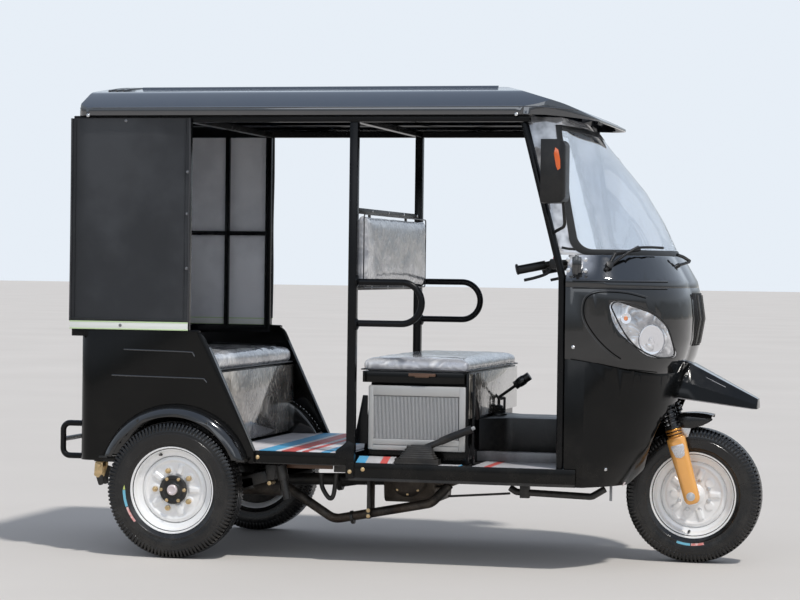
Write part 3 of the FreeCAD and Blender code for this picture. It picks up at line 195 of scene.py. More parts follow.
def build_relief(name, make_height):
    """Group that puts out a bumped normal and the height that made it."""
    tree, given, result = new_tree("ShaderNodeTree", name, [("Scale", FLOAT, 100.0),
        ("Strength", FLOAT, 0.2), ("Depth", FLOAT, 0.001)], [("Normal", VECTOR), ("Height", FLOAT)])
    height = make_height(tree, object_place(tree), given.outputs["Scale"])
    bump = add(tree, "ShaderNodeBump", {"Strength": given.outputs["Strength"],
        "Distance": given.outputs["Depth"], "Height": height})
    give(result, {"Normal": bump.outputs[0], "Height": height})
    return tree


def spray_height(tree, place, scale):
    return speckle(tree, place, scale, 2.0, 0.5)


def grain_height(tree, place, scale):
    creases = window(tree, cells(tree, place, scale, feature="DISTANCE_TO_EDGE"), 0.0, 0.35)
    soft = speckle(tree, place, maths(tree, "MULTIPLY", scale, 0.06), 4.0)
    return maths(tree, "ADD", maths(tree, "MULTIPLY", creases, 0.6), soft)


def crinkle_height(tree, place, scale):
    broad = speckle(tree, place, maths(tree, "MULTIPLY", scale, 0.35), 3.0, 0.5, 1.6)
    ridges = speckle(tree, place, scale, 4.0, 0.62, 2.2, noise_type="RIDGED_MULTIFRACTAL")
    return maths(tree, "ADD", maths(tree, "MULTIPLY", ridges, 0.5), broad)


def cast_height(tree, place, scale):
    pits = cells(tree, place, scale)
    return maths(tree, "ADD", pits, speckle(tree, place, maths(tree, "MULTIPLY", scale, 0.3), 5.0))


def weave_height(tree, place, scale):
    axes = add(tree, "ShaderNodeSeparateXYZ", {0: place}).outputs
    along, up = (maths(tree, "SINE", maths(tree, "MULTIPLY", axes[n], scale)) for n in (0, 2))
    return maths(tree, "MULTIPLY", along, up)


ROAD_DUST = build_road_dust()
UNEVEN_GLOSS = build_uneven_gloss()
SPRAYED = build_relief("sprayed paint", spray_height)
GRAINED = build_relief("vinyl grain", grain_height)
CRINKLED = build_relief("crinkled film", crinkle_height)
CAST = build_relief("cast metal", cast_height)
WOVEN = build_relief("woven backing", weave_height)


# Materials: finishes with dust, uneven gloss and a relief, and clear ones

def new_material(name):
    made = bpy.data.materials.new(name)
    made.use_nodes = True
    return made


def shader_of(material):
    return material.node_tree.nodes["Principled BSDF"]


def finish_of(name, colour, smooth, rough, metallic=0.0, coat=0.0, relief=SPRAYED, relief_scale=420.0,
        strength=0.05, depth=0.0006, dust=0.03, low_dust=0.2, second=None, second_scale=6.0, specular=0.5):
    """Material from its main values; second is a colour that mottles the first."""
    made = new_material(name)
    tree = made.node_tree
    patches = window(tree, speckle(tree, object_place(tree), second_scale, 4.0), 0.38, 0.64)
    mottle = mixed(tree, patches, opaque(colour), opaque(second or colour))
    dusty = add(tree, "ShaderNodeGroup", {"Colour": mottle, "Overall": dust, "Near the ground": low_dust},
        node_tree=ROAD_DUST, name="dust")
    gloss = add(tree, "ShaderNodeGroup", {"Smooth": smooth, "Rough": rough, "Dust": dusty.outputs["Dust"]},
        node_tree=UNEVEN_GLOSS)
    bumps = add(tree, "ShaderNodeGroup", {"Scale": relief_scale, "Strength": strength, "Depth": depth},
        node_tree=relief, name="relief")
    give(shader_of(made), {"Base Color": dusty.outputs["Colour"], "Roughness": gloss.outputs["Roughness"],
        "Normal": bumps.outputs["Normal"], "Metallic": metallic, "Coat Weight": coat, "Coat Roughness": 0.04,
        "Specular IOR Level": specular})
    return made


def paint_light_by_relief(material, low, high):
    """Painted light: lets the height of a material's relief colour it between two colours, darker in the
    hollows and paler on the rises, as if lit.
    """
    tree = material.node_tree
    height = window(tree, tree.nodes["relief"].outputs["Height"], 0.32, 0.85)
    give(tree.nodes["dust"], {"Colour": mixed(tree, height, opaque(low), opaque(high))})


def clear_of(name, colour, rough, ior):
    """Clear glass or film."""
    made = new_material(name)
    give(shader_of(made), {"Base Color": opaque(colour), "Roughness": rough, "Transmission Weight": 1.0,
        "IOR": ior})
    return made


def recoloured(material, factor, colour):
    """Mixes a plain colour over the colour that a finish gives, by a factor."""
    shader = shader_of(material)
    given = shader.inputs["Base Color"].links[0].from_socket
    give(shader, {"Base Color": mixed(material.node_tree, factor, given, opaque(colour))})


# Finishes of the rickshaw

body_black = finish_of("body black", (0.0024, 0.0024, 0.0022), 0.10, 0.20, dust=0.004, low_dust=0.05,
    relief_scale=260, strength=0.02, specular=0.24)
cowl_black = finish_of("cowl black", (0.0052, 0.0052, 0.0054), 0.07, 0.15, coat=0.8, dust=0.006,
    low_dust=0.05, relief_scale=260, strength=0.02, specular=0.42)
roof_black = finish_of("roof black", (0.0035, 0.0062, 0.0115), 0.05, 0.14, coat=0.85, dust=0.015,
    low_dust=0.0, relief_scale=90, strength=0.03)
frame_black = finish_of("frame black", (0.0032, 0.0036, 0.0044), 0.20, 0.30, dust=0.004, low_dust=0.06,
    relief_scale=340, strength=0.04, specular=0.2)
chassis_black = finish_of("chassis black", (0.0065, 0.0063, 0.0060), 0.30, 0.50, dust=0.02, low_dust=0.18,
    second=(0.012, 0.011, 0.010), relief_scale=300, strength=0.08)
plastic_black = finish_of("moulded black", (0.0075, 0.0075, 0.008), 0.30, 0.44, specular=0.35, relief=GRAINED,
    relief_scale=900, strength=0.12, depth=0.0004, dust=0.03, low_dust=0.18)
shiny_plastic = finish_of("shiny moulding", (0.010, 0.010, 0.0105), 0.12, 0.24, relief_scale=200,
    strength=0.03, dust=0.02)
tyre_rubber = finish_of("tyre rubber", (0.0050, 0.0050, 0.0053), 0.14, 0.28, relief_scale=700, strength=0.15,
    depth=0.0005, dust=0.01, low_dust=0.07, second=(0.010, 0.010, 0.0104))
soft_rubber = finish_of("seal rubber", (0.012, 0.012, 0.012), 0.38, 0.55, relief_scale=500, strength=0.05)
rim_silver = finish_of("rim silver", (0.96, 0.96, 0.95), 0.26, 0.38, metallic=0.15, coat=0.2, dust=0.0,
    low_dust=0.05, relief_scale=500, strength=0.03)
drum_iron = finish_of("drum iron", (0.030, 0.029, 0.028), 0.40, 0.60, metallic=0.5, relief=CAST,
    relief_scale=400, strength=0.25, dust=0.05, low_dust=0.3)
brass = finish_of("yellow plating", (0.76, 0.55, 0.30), 0.22, 0.42, metallic=1.0, relief_scale=600,
    strength=0.05, dust=0.05, second=(0.60, 0.45, 0.24), second_scale=60)
zinc = finish_of("bright zinc", (0.70, 0.70, 0.70), 0.22, 0.40, metallic=1.0, relief_scale=600, strength=0.05,
    dust=0.03)
chrome = finish_of("chrome", (0.90, 0.90, 0.92), 0.03, 0.09, metallic=1.0, relief_scale=80, strength=0.01,
    dust=0.01)
fork_orange = finish_of("fork orange", (0.98, 0.47, 0.11), 0.10, 0.22, coat=1.0, dust=0.01, low_dust=0.05,
    relief_scale=300, strength=0.03, metallic=0.15)
label_silver = finish_of("blank label", (0.72, 0.72, 0.74), 0.22, 0.34, metallic=0.4, dust=0.0, low_dust=0.03)
engine_alloy = finish_of("engine alloy", (0.085, 0.068, 0.052), 0.42, 0.62, metallic=0.6, relief=CAST,
    relief_scale=420, strength=0.3, dust=0.10, low_dust=0.3, second=(0.045, 0.036, 0.030))
exhaust_steel = finish_of("exhaust steel", (0.018, 0.016, 0.015), 0.38, 0.58, metallic=0.6, dust=0.05,
    low_dust=0.3, second=(0.040, 0.026, 0.018), second_scale=12)
steel_black = finish_of("suspension black", (0.0085, 0.0082, 0.008), 0.32, 0.52, dust=0.03, low_dust=0.2,
    relief_scale=320, strength=0.10)
seat_vinyl = finish_of("seat vinyl", (0.030, 0.030, 0.033), 0.30, 0.46, relief=GRAINED, relief_scale=650,
    strength=0.35, depth=0.0006, dust=0.02, low_dust=0.0)
# The paler second colour, in broad patches, is painted sheen and shade of the curtain's folds
curtain_vinyl = finish_of("curtain vinyl", (0.013, 0.0145, 0.0175), 0.40, 0.56, relief=GRAINED,
    relief_scale=420, strength=0.30, depth=0.0006, dust=0.0, low_dust=0.0, second=(0.036, 0.039, 0.044),
    second_scale=2.6)
lining_grey = finish_of("curtain lining", (0.86, 0.87, 0.90), 0.70, 0.85, relief=WOVEN, relief_scale=3200,
    strength=0.3, depth=0.0003, dust=0.0, low_dust=0.0, second=(0.72, 0.73, 0.76), second_scale=4.0)
floor_grey = finish_of("floor paint", (0.012, 0.012, 0.0125), 0.30, 0.46, relief_scale=240, strength=0.1,
    dust=0.03, low_dust=0.15)
lamp_orange = finish_of("orange lens", (0.75, 0.13, 0.02), 0.08, 0.16, coat=0.5, dust=0.0, low_dust=0.0,
    relief_scale=200, strength=0.0)
lamp_red = finish_of("red lens", (0.42, 0.008, 0.006), 0.08, 0.16, coat=0.5, dust=0.01, low_dust=0.0,
    relief_scale=200, strength=0.0)
# Painted shade: the curtain vinyl is darkened towards the rear corners of the cab, on the rear edge of the
# side curtains and the outer edges of the rear one
tree = curtain_vinyl.node_tree
place = place_axes(tree)
rearward = maths(tree, "SUBTRACT", 1.0, window(tree, place[0], -0.440 + AXLE_X, -0.345 + AXLE_X))
sideways = window(tree, maths(tree, "ABSOLUTE", place[1]), 0.47, 0.56)
recoloured(curtain_vinyl, maths(tree, "MULTIPLY", rearward, sideways), (0.006, 0.007, 0.009))
piping_grey = finish_of("curtain piping", (0.36, 0.37, 0.38), 0.38, 0.55, dust=0.03, low_dust=0.0)
screen_glass = clear_of("screen glass", (0.95, 0.97, 0.99), 0.015, 1.12)
give(shader_of(screen_glass), {"Metallic": 0.52})
lens_clear = clear_of("lamp lens", (0.97, 0.98, 1.0), 0.02, 1.12)
window_film = clear_of("window film", (0.90, 0.92, 0.93), 0.06, 1.08)


# Shapes: each is a list of points and a list of faces, in metres

def joined(*shapes):
    points = []
    faces = []
    for shape_points, shape_faces in shapes:
        start = len(points)
        points += shape_points
        faces += [tuple(i + start for i in face) for face in shape_faces]
    return points, faces


def loft(rings, closed=True, caps=True):
    """Skin through rings of equal length; closed rings may be capped at both ends."""
    count = len(rings[0])
    points = [p for ring in rings for p in ring]
    faces = []
    for r in range(len(rings) - 1):
        for i in range(count if closed else count - 1):
            a = r * count + i
            b = r * count + (i + 1) % count
            faces.append((a, b, b + count, a + count))
    if closed and caps:
        faces.append(tuple(reversed(range(count))))
        faces.append(tuple(range((len(rings) - 1) * count, len(rings) * count)))
    return points, faces


def lathe(rows, centre, axis=(0, 1, 0), segments=64, closed=False):
    """Solid of revolution about an axis, each row being (along the axis, radius) in millimetres."""
    turn = Vector((0, 0, 1)).rotation_difference(Vector(axis)).to_matrix()
    rings = []
    for along, radius in rows:
        ring = []
        for i in range(segments):
            angle = 2 * math.pi * i / segments
            offset = Vector((radius * math.cos(angle), radius * math.sin(angle), along)) / 1000
            ring.append(centre + turn @ offset)
        rings.append(ring)
    if closed:
        rings.append(rings[0])
    return loft(rings, True, not closed)


def rounded_path(rows, steps=8):
    """Points along straight runs joined by arcs, each row being (x, y, z, bend radius)."""
    corners = [at(*row[:3]) for row in rows]
    path = [corners[0]]
    for i in range(1, len(rows) - 1):
        radius = rows[i][3] / 1000
        back = (corners[i - 1] - corners[i]).normalized()
        ahead = (corners[i + 1] - corners[i]).normalized()
        half = back.angle(ahead) / 2
        if radius == 0 or half > math.pi / 2 - 0.001:
            path.append(corners[i])
            continue
        reach = min(radius / math.tan(half), (corners[i - 1] - corners[i]).length,
            (corners[i + 1] - corners[i]).length)
        centre = corners[i] + (back + ahead).normalized() * (radius / math.sin(half))
        first = corners[i] + back * reach - centre
        last = corners[i] + ahead * reach - centre
        for k in range(steps + 1):
            path.append(centre + first.normalized().slerp(last.normalized(), k / steps) * first.length)
    path.append(corners[-1])
    return path


def flowing_path(stations, steps=8):
    """Smooth curve through stations in millimetres."""
    knots = [at(*s) for s in stations]
    knots = [knots[0] * 2 - knots[1]] + knots + [knots[-1] * 2 - knots[-2]]
    path = []
    for i in range(1, len(knots) - 2):
        p0, p1, p2, p3 = knots[i - 1:i + 3]
        for k in range(steps):
            t = k / steps
            path.append(((p1 * 2) + (p2 - p0) * t + (p0 * 2 - p1 * 5 + p2 * 4 - p3) * t * t
                + (p1 * 3 - p0 - p2 * 3 + p3) * t ** 3) / 2)
    path.append(knots[-2])
    return path


def path_frames(path, up=None):
    """Two crosswise axes at each point of a path, turning as little as possible."""
    frames = []
    side = None
    for i, point in enumerate(path):
        ahead = (path[min(i + 1, len(path) - 1)] - path[max(i - 1, 0)]).normalized()
        if up is not None:
            side = Vector(up).cross(ahead).normalized()
        elif side is None:
            side = ahead.orthogonal().normalized()
        else:
            side = (side - ahead * side.dot(ahead)).normalized()
        frames.append((point, side, ahead.cross(side)))
    return frames


def sweep(path, outline, up=None):
    """Outline, in millimetres across and above, carried along a path."""
    return loft([[point + side * (u / 1000) + above * (v / 1000) for u, v in outline]
        for point, side, above in path_frames(path, up)])


def circle(radius, sides=14, squash=1.0):
    return [(radius * math.cos(2 * math.pi * i / sides), radius * squash * math.sin(2 * math.pi * i / sides))
        for i in range(sides)]


def rounded_rectangle(width, height, corner, steps=3):
    outline = []
    for cx, cy, start in ((1, 1, 0), (-1, 1, 90), (-1, -1, 180), (1, -1, 270)):
        for k in range(steps + 1):
            angle = math.radians(start + 90 * k / steps)
            outline.append((cx * (width / 2 - corner) + corner * math.cos(angle),
                cy * (height / 2 - corner) + corner * math.sin(angle)))
    return outline


def tube(rows, radius):
    return sweep(rounded_path(rows), circle(radius, 16))


def hose(stations, radius, sides=12):
    return sweep(flowing_path(stations), circle(radius, sides))


def peg(start, end, radius, sides=16):
    """Straight round bar between two stations, with slightly broken edges."""
    first = at(*start)
    last = at(*end)
    length = (last - first).length * 1000
    nick = min(1.2, radius * 0.2, length * 0.2)
    rows = [(0, radius - nick), (nick, radius), (length - nick, radius), (length, radius - nick)]
    return lathe(rows, first, (last - first).normalized(), sides)


def block(x0, x1, y0, y1, z0, z1):
    points = [at(x, y, z) for z in (z0, z1) for y in (y0, y1) for x in (x0, x1)]
    return points, [(0, 2, 3, 1), (4, 5, 7, 6), (0, 1, 5, 4), (2, 6, 7, 3), (0, 4, 6, 2), (1, 3, 7, 5)]


def outline_corners(rows):
    """Flat outline with rounded corners, each row being (a, b, corner radius)."""
    flat = []
    for i, (a, b, radius) in enumerate(rows):
        corner = Vector((a, b))
        if radius == 0:
            flat.append(corner)
            continue
        back = (Vector(rows[i - 1][:2]) - corner).normalized()
        ahead = (Vector(rows[(i + 1) % len(rows)][:2]) - corner).normalized()
        half = back.angle(ahead) / 2
        centre = corner + (back + ahead).normalized() * (radius / math.sin(half))
        first = corner + back * (radius / math.tan(half)) - centre
        last = corner + ahead * (radius / math.tan(half)) - centre
        for k in range(CORNER_STEPS + 1):
            flat.append(centre + Matrix.Rotation(-first.angle_signed(last) * k / CORNER_STEPS, 2) @ first)
    return flat


def side_prism(rows, y0, y1):
    """Plate with a side outline, each row being (x, z, corner radius), between two distances across."""
    flat = outline_corners(rows)
    return loft([[at(p.x, y, p.y) for p in flat] for y in (y0, y1)])


def front_prism(rows, x0, x1):
    flat = outline_corners(rows)
    return loft([[at(x, p.x, p.y) for p in flat] for x in (x0, x1)])


def plan_prism(rows, z0, z1):
    flat = outline_corners(rows)
    return loft([[at(p.x, p.y, z) for p in flat] for z in (z0, z1)])


# Pieces

def new_object(name, data):
    made = bpy.data.objects.new(name, data)
    bpy.context.scene.collection.objects.link(made)
    return made


def new_piece(name, shape, materials=(), owners=None, merge=0.0):
    """Object of one mesh, its close points merged and its faces turned outwards."""
    mesh = bpy.data.meshes.new(name)
    mesh.from_pydata([tuple(p) for p in shape[0]], [], shape[1])
    for material in materials:
        mesh.materials.append(material)
    if owners:
        mesh.polygons.foreach_set("material_index", owners)
    shell = bmesh.new()
    shell.from_mesh(mesh)
    if merge:
        bmesh.ops.remove_doubles(shell, verts=shell.verts, dist=merge)
    bmesh.ops.recalc_face_normals(shell, faces=shell.faces)
    shell.to_mesh(mesh)
    shell.free()
    return new_object(name, mesh)


def make(name, body, slot, finishes, bevel=0.0, angle=35, bevel_steps=2):
    """Piece from (shapes, material) pairs, its edges broken and set on a body."""
    materials = []
    shapes = []
    owners = []
    for given, material in finishes:
        shape = joined(*given) if isinstance(given, list) else given
        if material not in materials:
            materials.append(material)
        shapes.append(shape)
        owners += [materials.index(material)] * len(shape[1])
    made = new_piece(name, joined(*shapes), materials, owners, 2 * MERGE)
    return finished(made, body, bevel, angle, bevel_steps)


def part(name, slot, shapes, material, *edges, **values):
    """Piece of one material, fixed to the body."""
    return make(name, "body", slot, [(shapes, material)], *edges, **values)


def break_edges(made, bevel, angle, steps=2):
    edge = made.modifiers.new("edges", "BEVEL")
    edge.width = bevel / 1000
    edge.segments = steps
    edge.limit_method = "ANGLE"
    edge.angle_limit = math.radians(angle)


def subdivide(made):
    smoother = made.modifiers.new("subdivision", "SUBSURF")
    smoother.levels = 1
    smoother.render_levels = 1


def smooth_faces(made):
    made.data.polygons.foreach_set("use_smooth", [True] * len(made.data.polygons))


def settle(made):
    """Turns an object with modifiers into the plain mesh that they give."""
    if not made.modifiers:
        return
    bpy.context.view_layer.update()
    graph = bpy.context.evaluated_depsgraph_get()
    plain = bpy.data.meshes.new_from_object(made.evaluated_get(graph))
    old = made.data
    made.modifiers.clear()
    made.data = plain
    bpy.data.meshes.remove(old)


def finished(made, body, bevel=0.0, angle=35, bevel_steps=2):
    """Breaks the edges, smooths the faces and sets the piece on its body."""
    if bevel:
        break_edges(made, bevel, angle, bevel_steps)
    settle(made)
    smooth_faces(made)
    made.data.set_sharp_from_angle(angle=math.radians(angle))
    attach(made, body)
    return made


def refined(node, slot, material, bevel=1.2, angle=32):
    """Copy of a CAD node with merged points, flat faces joined and edges broken; it stands for the node."""
    source = frame["nodes"][node]
    mesh = source.data.copy()
    mesh.name = node + "_shape"
    mesh.materials.clear()
    mesh.materials.append(material)
    mesh.polygons.foreach_set("material_index", [0] * len(mesh.polygons))
    shell = bmesh.new()
    shell.from_mesh(mesh)
    bmesh.ops.remove_doubles(shell, verts=shell.verts, dist=MERGE)
    bmesh.ops.dissolve_limit(shell, angle_limit=math.radians(0.6), verts=shell.verts, edges=shell.edges)
    shell.to_mesh(mesh)
    shell.free()
    made = finished(new_object(node + "_finished", mesh), source["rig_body"], bevel, angle)
    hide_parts(node)
    return made


# Geometry Nodes trees for what repeats

def end_tree(tree, given, result, copies):
    real = add(tree, "GeometryNodeRealizeInstances", {0: copies.outputs[0]})
    coloured = add(tree, "GeometryNodeSetMaterial", {0: real.outputs[0],
        "Material": given.outputs["Material"]})
    give(result, {0: coloured.outputs[0]})
    tree.is_modifier = True
    return tree


def build_ring_tree():
    """Copies of the unit turned evenly about an axis through a centre."""
    tree, given, result = new_tree("GeometryNodeTree", "ring of copies",
        GEOMETRY + [("Count", "NodeSocketInt", 5), ("Centre", VECTOR, (0, 0, 0)),
        ("Axis", VECTOR, (0, 1, 0))] + MATERIAL, GEOMETRY)
    centre = given.outputs["Centre"]
    points = add(tree, "GeometryNodePoints", {"Count": given.outputs["Count"], "Position": centre})
    share = maths(tree, "DIVIDE", add(tree, "GeometryNodeInputIndex").outputs[0], given.outputs["Count"])
    angle = maths(tree, "MULTIPLY", share, 2 * math.pi)
    turn = add(tree, "FunctionNodeAxisAngleToRotation", {"Axis": given.outputs["Axis"], "Angle": angle})
    back = add(tree, "ShaderNodeVectorMath", {0: centre, "Scale": -1.0}, operation="SCALE")
    local = add(tree, "GeometryNodeTransform", {"Geometry": given.outputs["Geometry"],
        "Translation": back.outputs[0]})
    copies = add(tree, "GeometryNodeInstanceOnPoints", {"Points": points.outputs[0],
        "Instance": local.outputs[0], "Rotation": turn.outputs[0]})
    return end_tree(tree, given, result, copies)


def build_row_tree():
    """Copies of the unit set at even steps along a line."""
    tree, given, result = new_tree("GeometryNodeTree", "row of copies",
        GEOMETRY + [("Count", "NodeSocketInt", 5), ("Step", VECTOR, (0.01, 0, 0))] + MATERIAL, GEOMETRY)
    line = add(tree, "GeometryNodeMeshLine", {"Count": given.outputs["Count"],
        "Offset": given.outputs["Step"]})
    copies = add(tree, "GeometryNodeInstanceOnPoints", {"Points": line.outputs[0],
        "Instance": given.outputs["Geometry"]})
    return end_tree(tree, given, result, copies)


RING_TREE = build_ring_tree()
ROW_TREE = build_row_tree()


def repeated(name, shape, tree, values, material, body, bevel=0.0):
    """Piece made by a tree from one unit shape, with the tree's named values."""
    made = new_piece(name, shape)
    if bevel:
        break_edges(made, bevel, 35)
        settle(made)
    copies = made.modifiers.new("copies", "NODES")
    copies.node_group = tree
    named = {item.name: item.identifier for item in tree.interface.items_tree
        if item.item_type == "SOCKET" and item.in_out == "INPUT"}
    for label, value in dict(values, Material=material).items():
        copies[named[label]] = value
    return finished(made, body)


# Tyres

def on_wheel(wheel, angle, radius, out):
    """Station on a wheel by angle in degrees, radius, and distance outwards from its middle."""
    x, y, outward = wheel
    turn = math.radians(angle)
    return (x + radius * math.cos(turn), y + outward * out, HUB_Z + radius * math.sin(turn))


def wheel_shape(wheel, rows, segments=72, closed=False):
    x, y, outward = wheel
    return lathe(rows, at(x, y, HUB_Z), (0, outward, 0), segments, closed)


SIDEWALL = [(33, 153), (40, 160), (44.5, 170), (48.5, 177), (51.6, 184), (52.4, 184.6), (53.2, 187.5),
    (53.0, 188.4), (54.8, 197), (56.0, 208), (56.2, 216), (55.2, 217.2), (55.4, 224), (54.0, 232),
    (51.0, 241), (46.5, 249), (38, 253), (20, 254.5)]
TREAD_COUNT = 104
RIB_COUNT = 52


def sidewall_out(radius):
    for (o0, r0), (o1, r1) in zip(SIDEWALL, SIDEWALL[1:]):
        if r0 <= radius <= r1:
            return o0 + (o1 - o0) * (radius - r0) / (r1 - r0)
    return 54.0


def tread_unit(wheel, section, half_angle, taper=1.0):
    """Block on the tread: its section across the tyre, carried through a small angle."""
    rings = []
    for share in (-1, 1):
        ring = []
        for out, radius in section:
            reach = half_angle * (taper if radius < TYRE_RADIUS - 12 else 1.0)
            ring.append(at(*on_wheel(wheel, share * reach, radius, out)))
        rings.append(ring)
    return loft(rings)


def zigzag_unit(wheel, middle, width, swing):
    """Stretch of a rib that steps from side to side as it goes round the tread."""
    step = 360 / RIB_COUNT
    points = []
    for radius in (TYRE_RADIUS - 9, TYRE_RADIUS - 0.3):
        for angle, shift in ((-step / 2, -swing), (0, swing), (step / 2, -swing)):
            for side in (-width / 2, width / 2):
                points.append(at(*on_wheel(wheel, angle, radius, middle + shift + side)))
    faces = []
    for k in (0, 2):
        faces += [(6 + k, 7 + k, 9 + k, 8 + k), (k, k + 2, k + 8, k + 6), (k + 1, k + 7, k + 9, k + 3)]
    return points, faces


def colour_arc(wheel, first, last, inner, outer, pointed=0):
    """Thin coloured stripe on the sidewall."""
    rings = []
    count = 14
    for k in range(count + 1):
        angle = first + (last - first) * k / count
        share = min(1.0, (0.15 + k / count) if pointed else 1.0)
        middle = (inner + outer) / 2
        half = (outer - inner) / 2 * share
        ring = []
        for radius in (middle - half, middle, middle + half):
            ring.append(at(*on_wheel(wheel, angle, radius, sidewall_out(radius) + 0.5)))
        rings.append(ring)
    return loft(rings, False)


def build_tyre(node, wheel, body, arcs):
    centre = at(wheel[0], wheel[1], HUB_Z)
    section = SIDEWALL + [(0, TYRE_RADIUS - 7)] + [(-o, r) for o, r in reversed(SIDEWALL)]
    made = make(node + "_carcass", body, "tyre", [(wheel_shape(wheel, section, 96, True), tyre_rubber)])
    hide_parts(node)
    for name, side in (("outer", 1), ("inner", -1)):
        lug = [(side * o, r) for o, r in ((33, 250), (33, 260.6), (46, 260), (52, 257), (56, 249.5),
            (56.6, 238), (56.4, 231), (53, 229), (50, 240), (44, 248))]
        repeated(node + "_shoulder_" + name, tread_unit(wheel, lug, 1.02, 0.8), RING_TREE,
            {"Count": TREAD_COUNT, "Centre": centre}, tyre_rubber, body, 0.7)
    for k, middle in enumerate((-21, 0, 21)):
        repeated(node + "_rib_%d" % k, zigzag_unit(wheel, middle, 13, 2.6), RING_TREE,
            {"Count": RIB_COUNT, "Centre": centre}, tyre_rubber, body)
    make(node + "_stripes", body, "tyre", [(colour_arc(wheel, *place), paint) for place, paint in arcs])


stripe_lime = finish_of("lime stripe", (0.62, 0.72, 0.20), 0.35, 0.5, dust=0.03, low_dust=0.1)
stripe_cyan = finish_of("sky stripe", (0.18, 0.52, 0.68), 0.35, 0.5, dust=0.03, low_dust=0.1)
stripe_rose = finish_of("rose stripe", (0.72, 0.22, 0.20), 0.35, 0.5, dust=0.03, low_dust=0.1,
    second=(0.85, 0.62, 0.60), second_scale=90)

REAR_RIGHT = (0.0, -REAR_WHEEL_Y, -1)
REAR_LEFT = (0.0, REAR_WHEEL_Y, 1)
FRONT = (WHEELBASE, 0.0, -1)
rear_arcs = [((176, 181, 186, 194, 1), stripe_lime), ((181.5, 201, 185.5, 195.5), stripe_cyan),
    ((202, 221, 186, 195), stripe_rose)]
front_arcs = [((252, 268, 186, 195), stripe_cyan), ((269, 284, 186, 195), stripe_rose)]
build_tyre("tyre_rear_right", REAR_RIGHT, "rear_wheel_right", rear_arcs)
build_tyre("tyre_rear_left", REAR_LEFT, "rear_wheel_left", rear_arcs)
build_tyre("tyre_front", FRONT, "front_wheel", front_arcs)


# Wheels: rim, pressed disc, nuts, hub and drum

RIM_FACE = [(43.5, 167), (45.6, 166.2), (46.4, 164.4), (45.6, 162.2), (42, 161), (38.5, 159.5), (36.6, 156),
    (36, 153), (34, 151.6), (29, 151), (24, 150.2), (20, 146.5), (17, 140), (16, 134.5), (14.5, 131.5),
    (10, 129.5), (4, 128.5), (-8, 128), (-26, 129), (-30, 138), (-34, 150), (-40, 155), (-43, 161),
    (-45.6, 163), (-46.2, 165), (-45, 166.6), (-43.5, 167)]
DISC_INNER = 34.0
DISC_OUTER = 126.0
DISC_RINGS = 31


def smooth(value, low, high):
    share = min(1.0, max(0.0, (value - low) / (high - low)))
    return share * share * (3 - 2 * share)


def disc_out(radius, angle):
    """How far out the pressed disc stands at a radius and an angle in degrees."""
    out = 13.0
    out += 5.0 * smooth(radius, 106, 112) * (1 - smooth(radius, 117, 126))
    for k in range(5):
        turn = math.radians(angle - 72 * k)
        ahead = radius * math.cos(turn)
        aside = abs(radius * math.sin(turn))
        if ahead > 0:
            reach = smooth(ahead, 56, 64) * (1 - smooth(ahead, 98, 108))
            out += 6.5 * reach * (1 - smooth(aside, 7.0, 14.5))
        pad = math.radians(angle - 72 * k - 36)
        away = math.hypot(radius * math.cos(pad) - 75, radius * math.sin(pad))
        out += 3.0 * (1 - smooth(away, 15, 20))
    return out


def pressed_disc(wheel):
    """Disc with five ribs and five nut pads pressed out, and its flat back."""
    rings = []
    angles = [2.0 * k for k in range(180)]
    for r in range(DISC_RINGS + 1):
        radius = DISC_INNER + (DISC_OUTER - DISC_INNER) * r / DISC_RINGS
        rings.append([at(*on_wheel(wheel, angle, radius, disc_out(radius, angle))) for angle in angles])
    for radius in (DISC_OUTER + 1.5, 90, DISC_INNER):
        rings.append([at(*on_wheel(wheel, angle, radius, 2.0)) for angle in angles])
    return loft(rings, True, False)


def hexagon(wheel, angle, radius, across, out0, out1):
    """Six-sided nut with a rounded top on the wheel's face."""
    x, y, z = on_wheel(wheel, angle, radius, 0)
    rows = [(out0, across), (out1 - 2.0, across), (out1, across * 0.82), (out1, 0.5)]
    return lathe(rows, at(x, y, z), (0, wheel[2], 0), 6)


def wheel_peg(wheel, angle, radius, size, out0, out1, sides=14):
    start = on_wheel(wheel, angle, radius, out0)
    end = on_wheel(wheel, angle, radius, out1)
    return peg(start, end, size, sides)


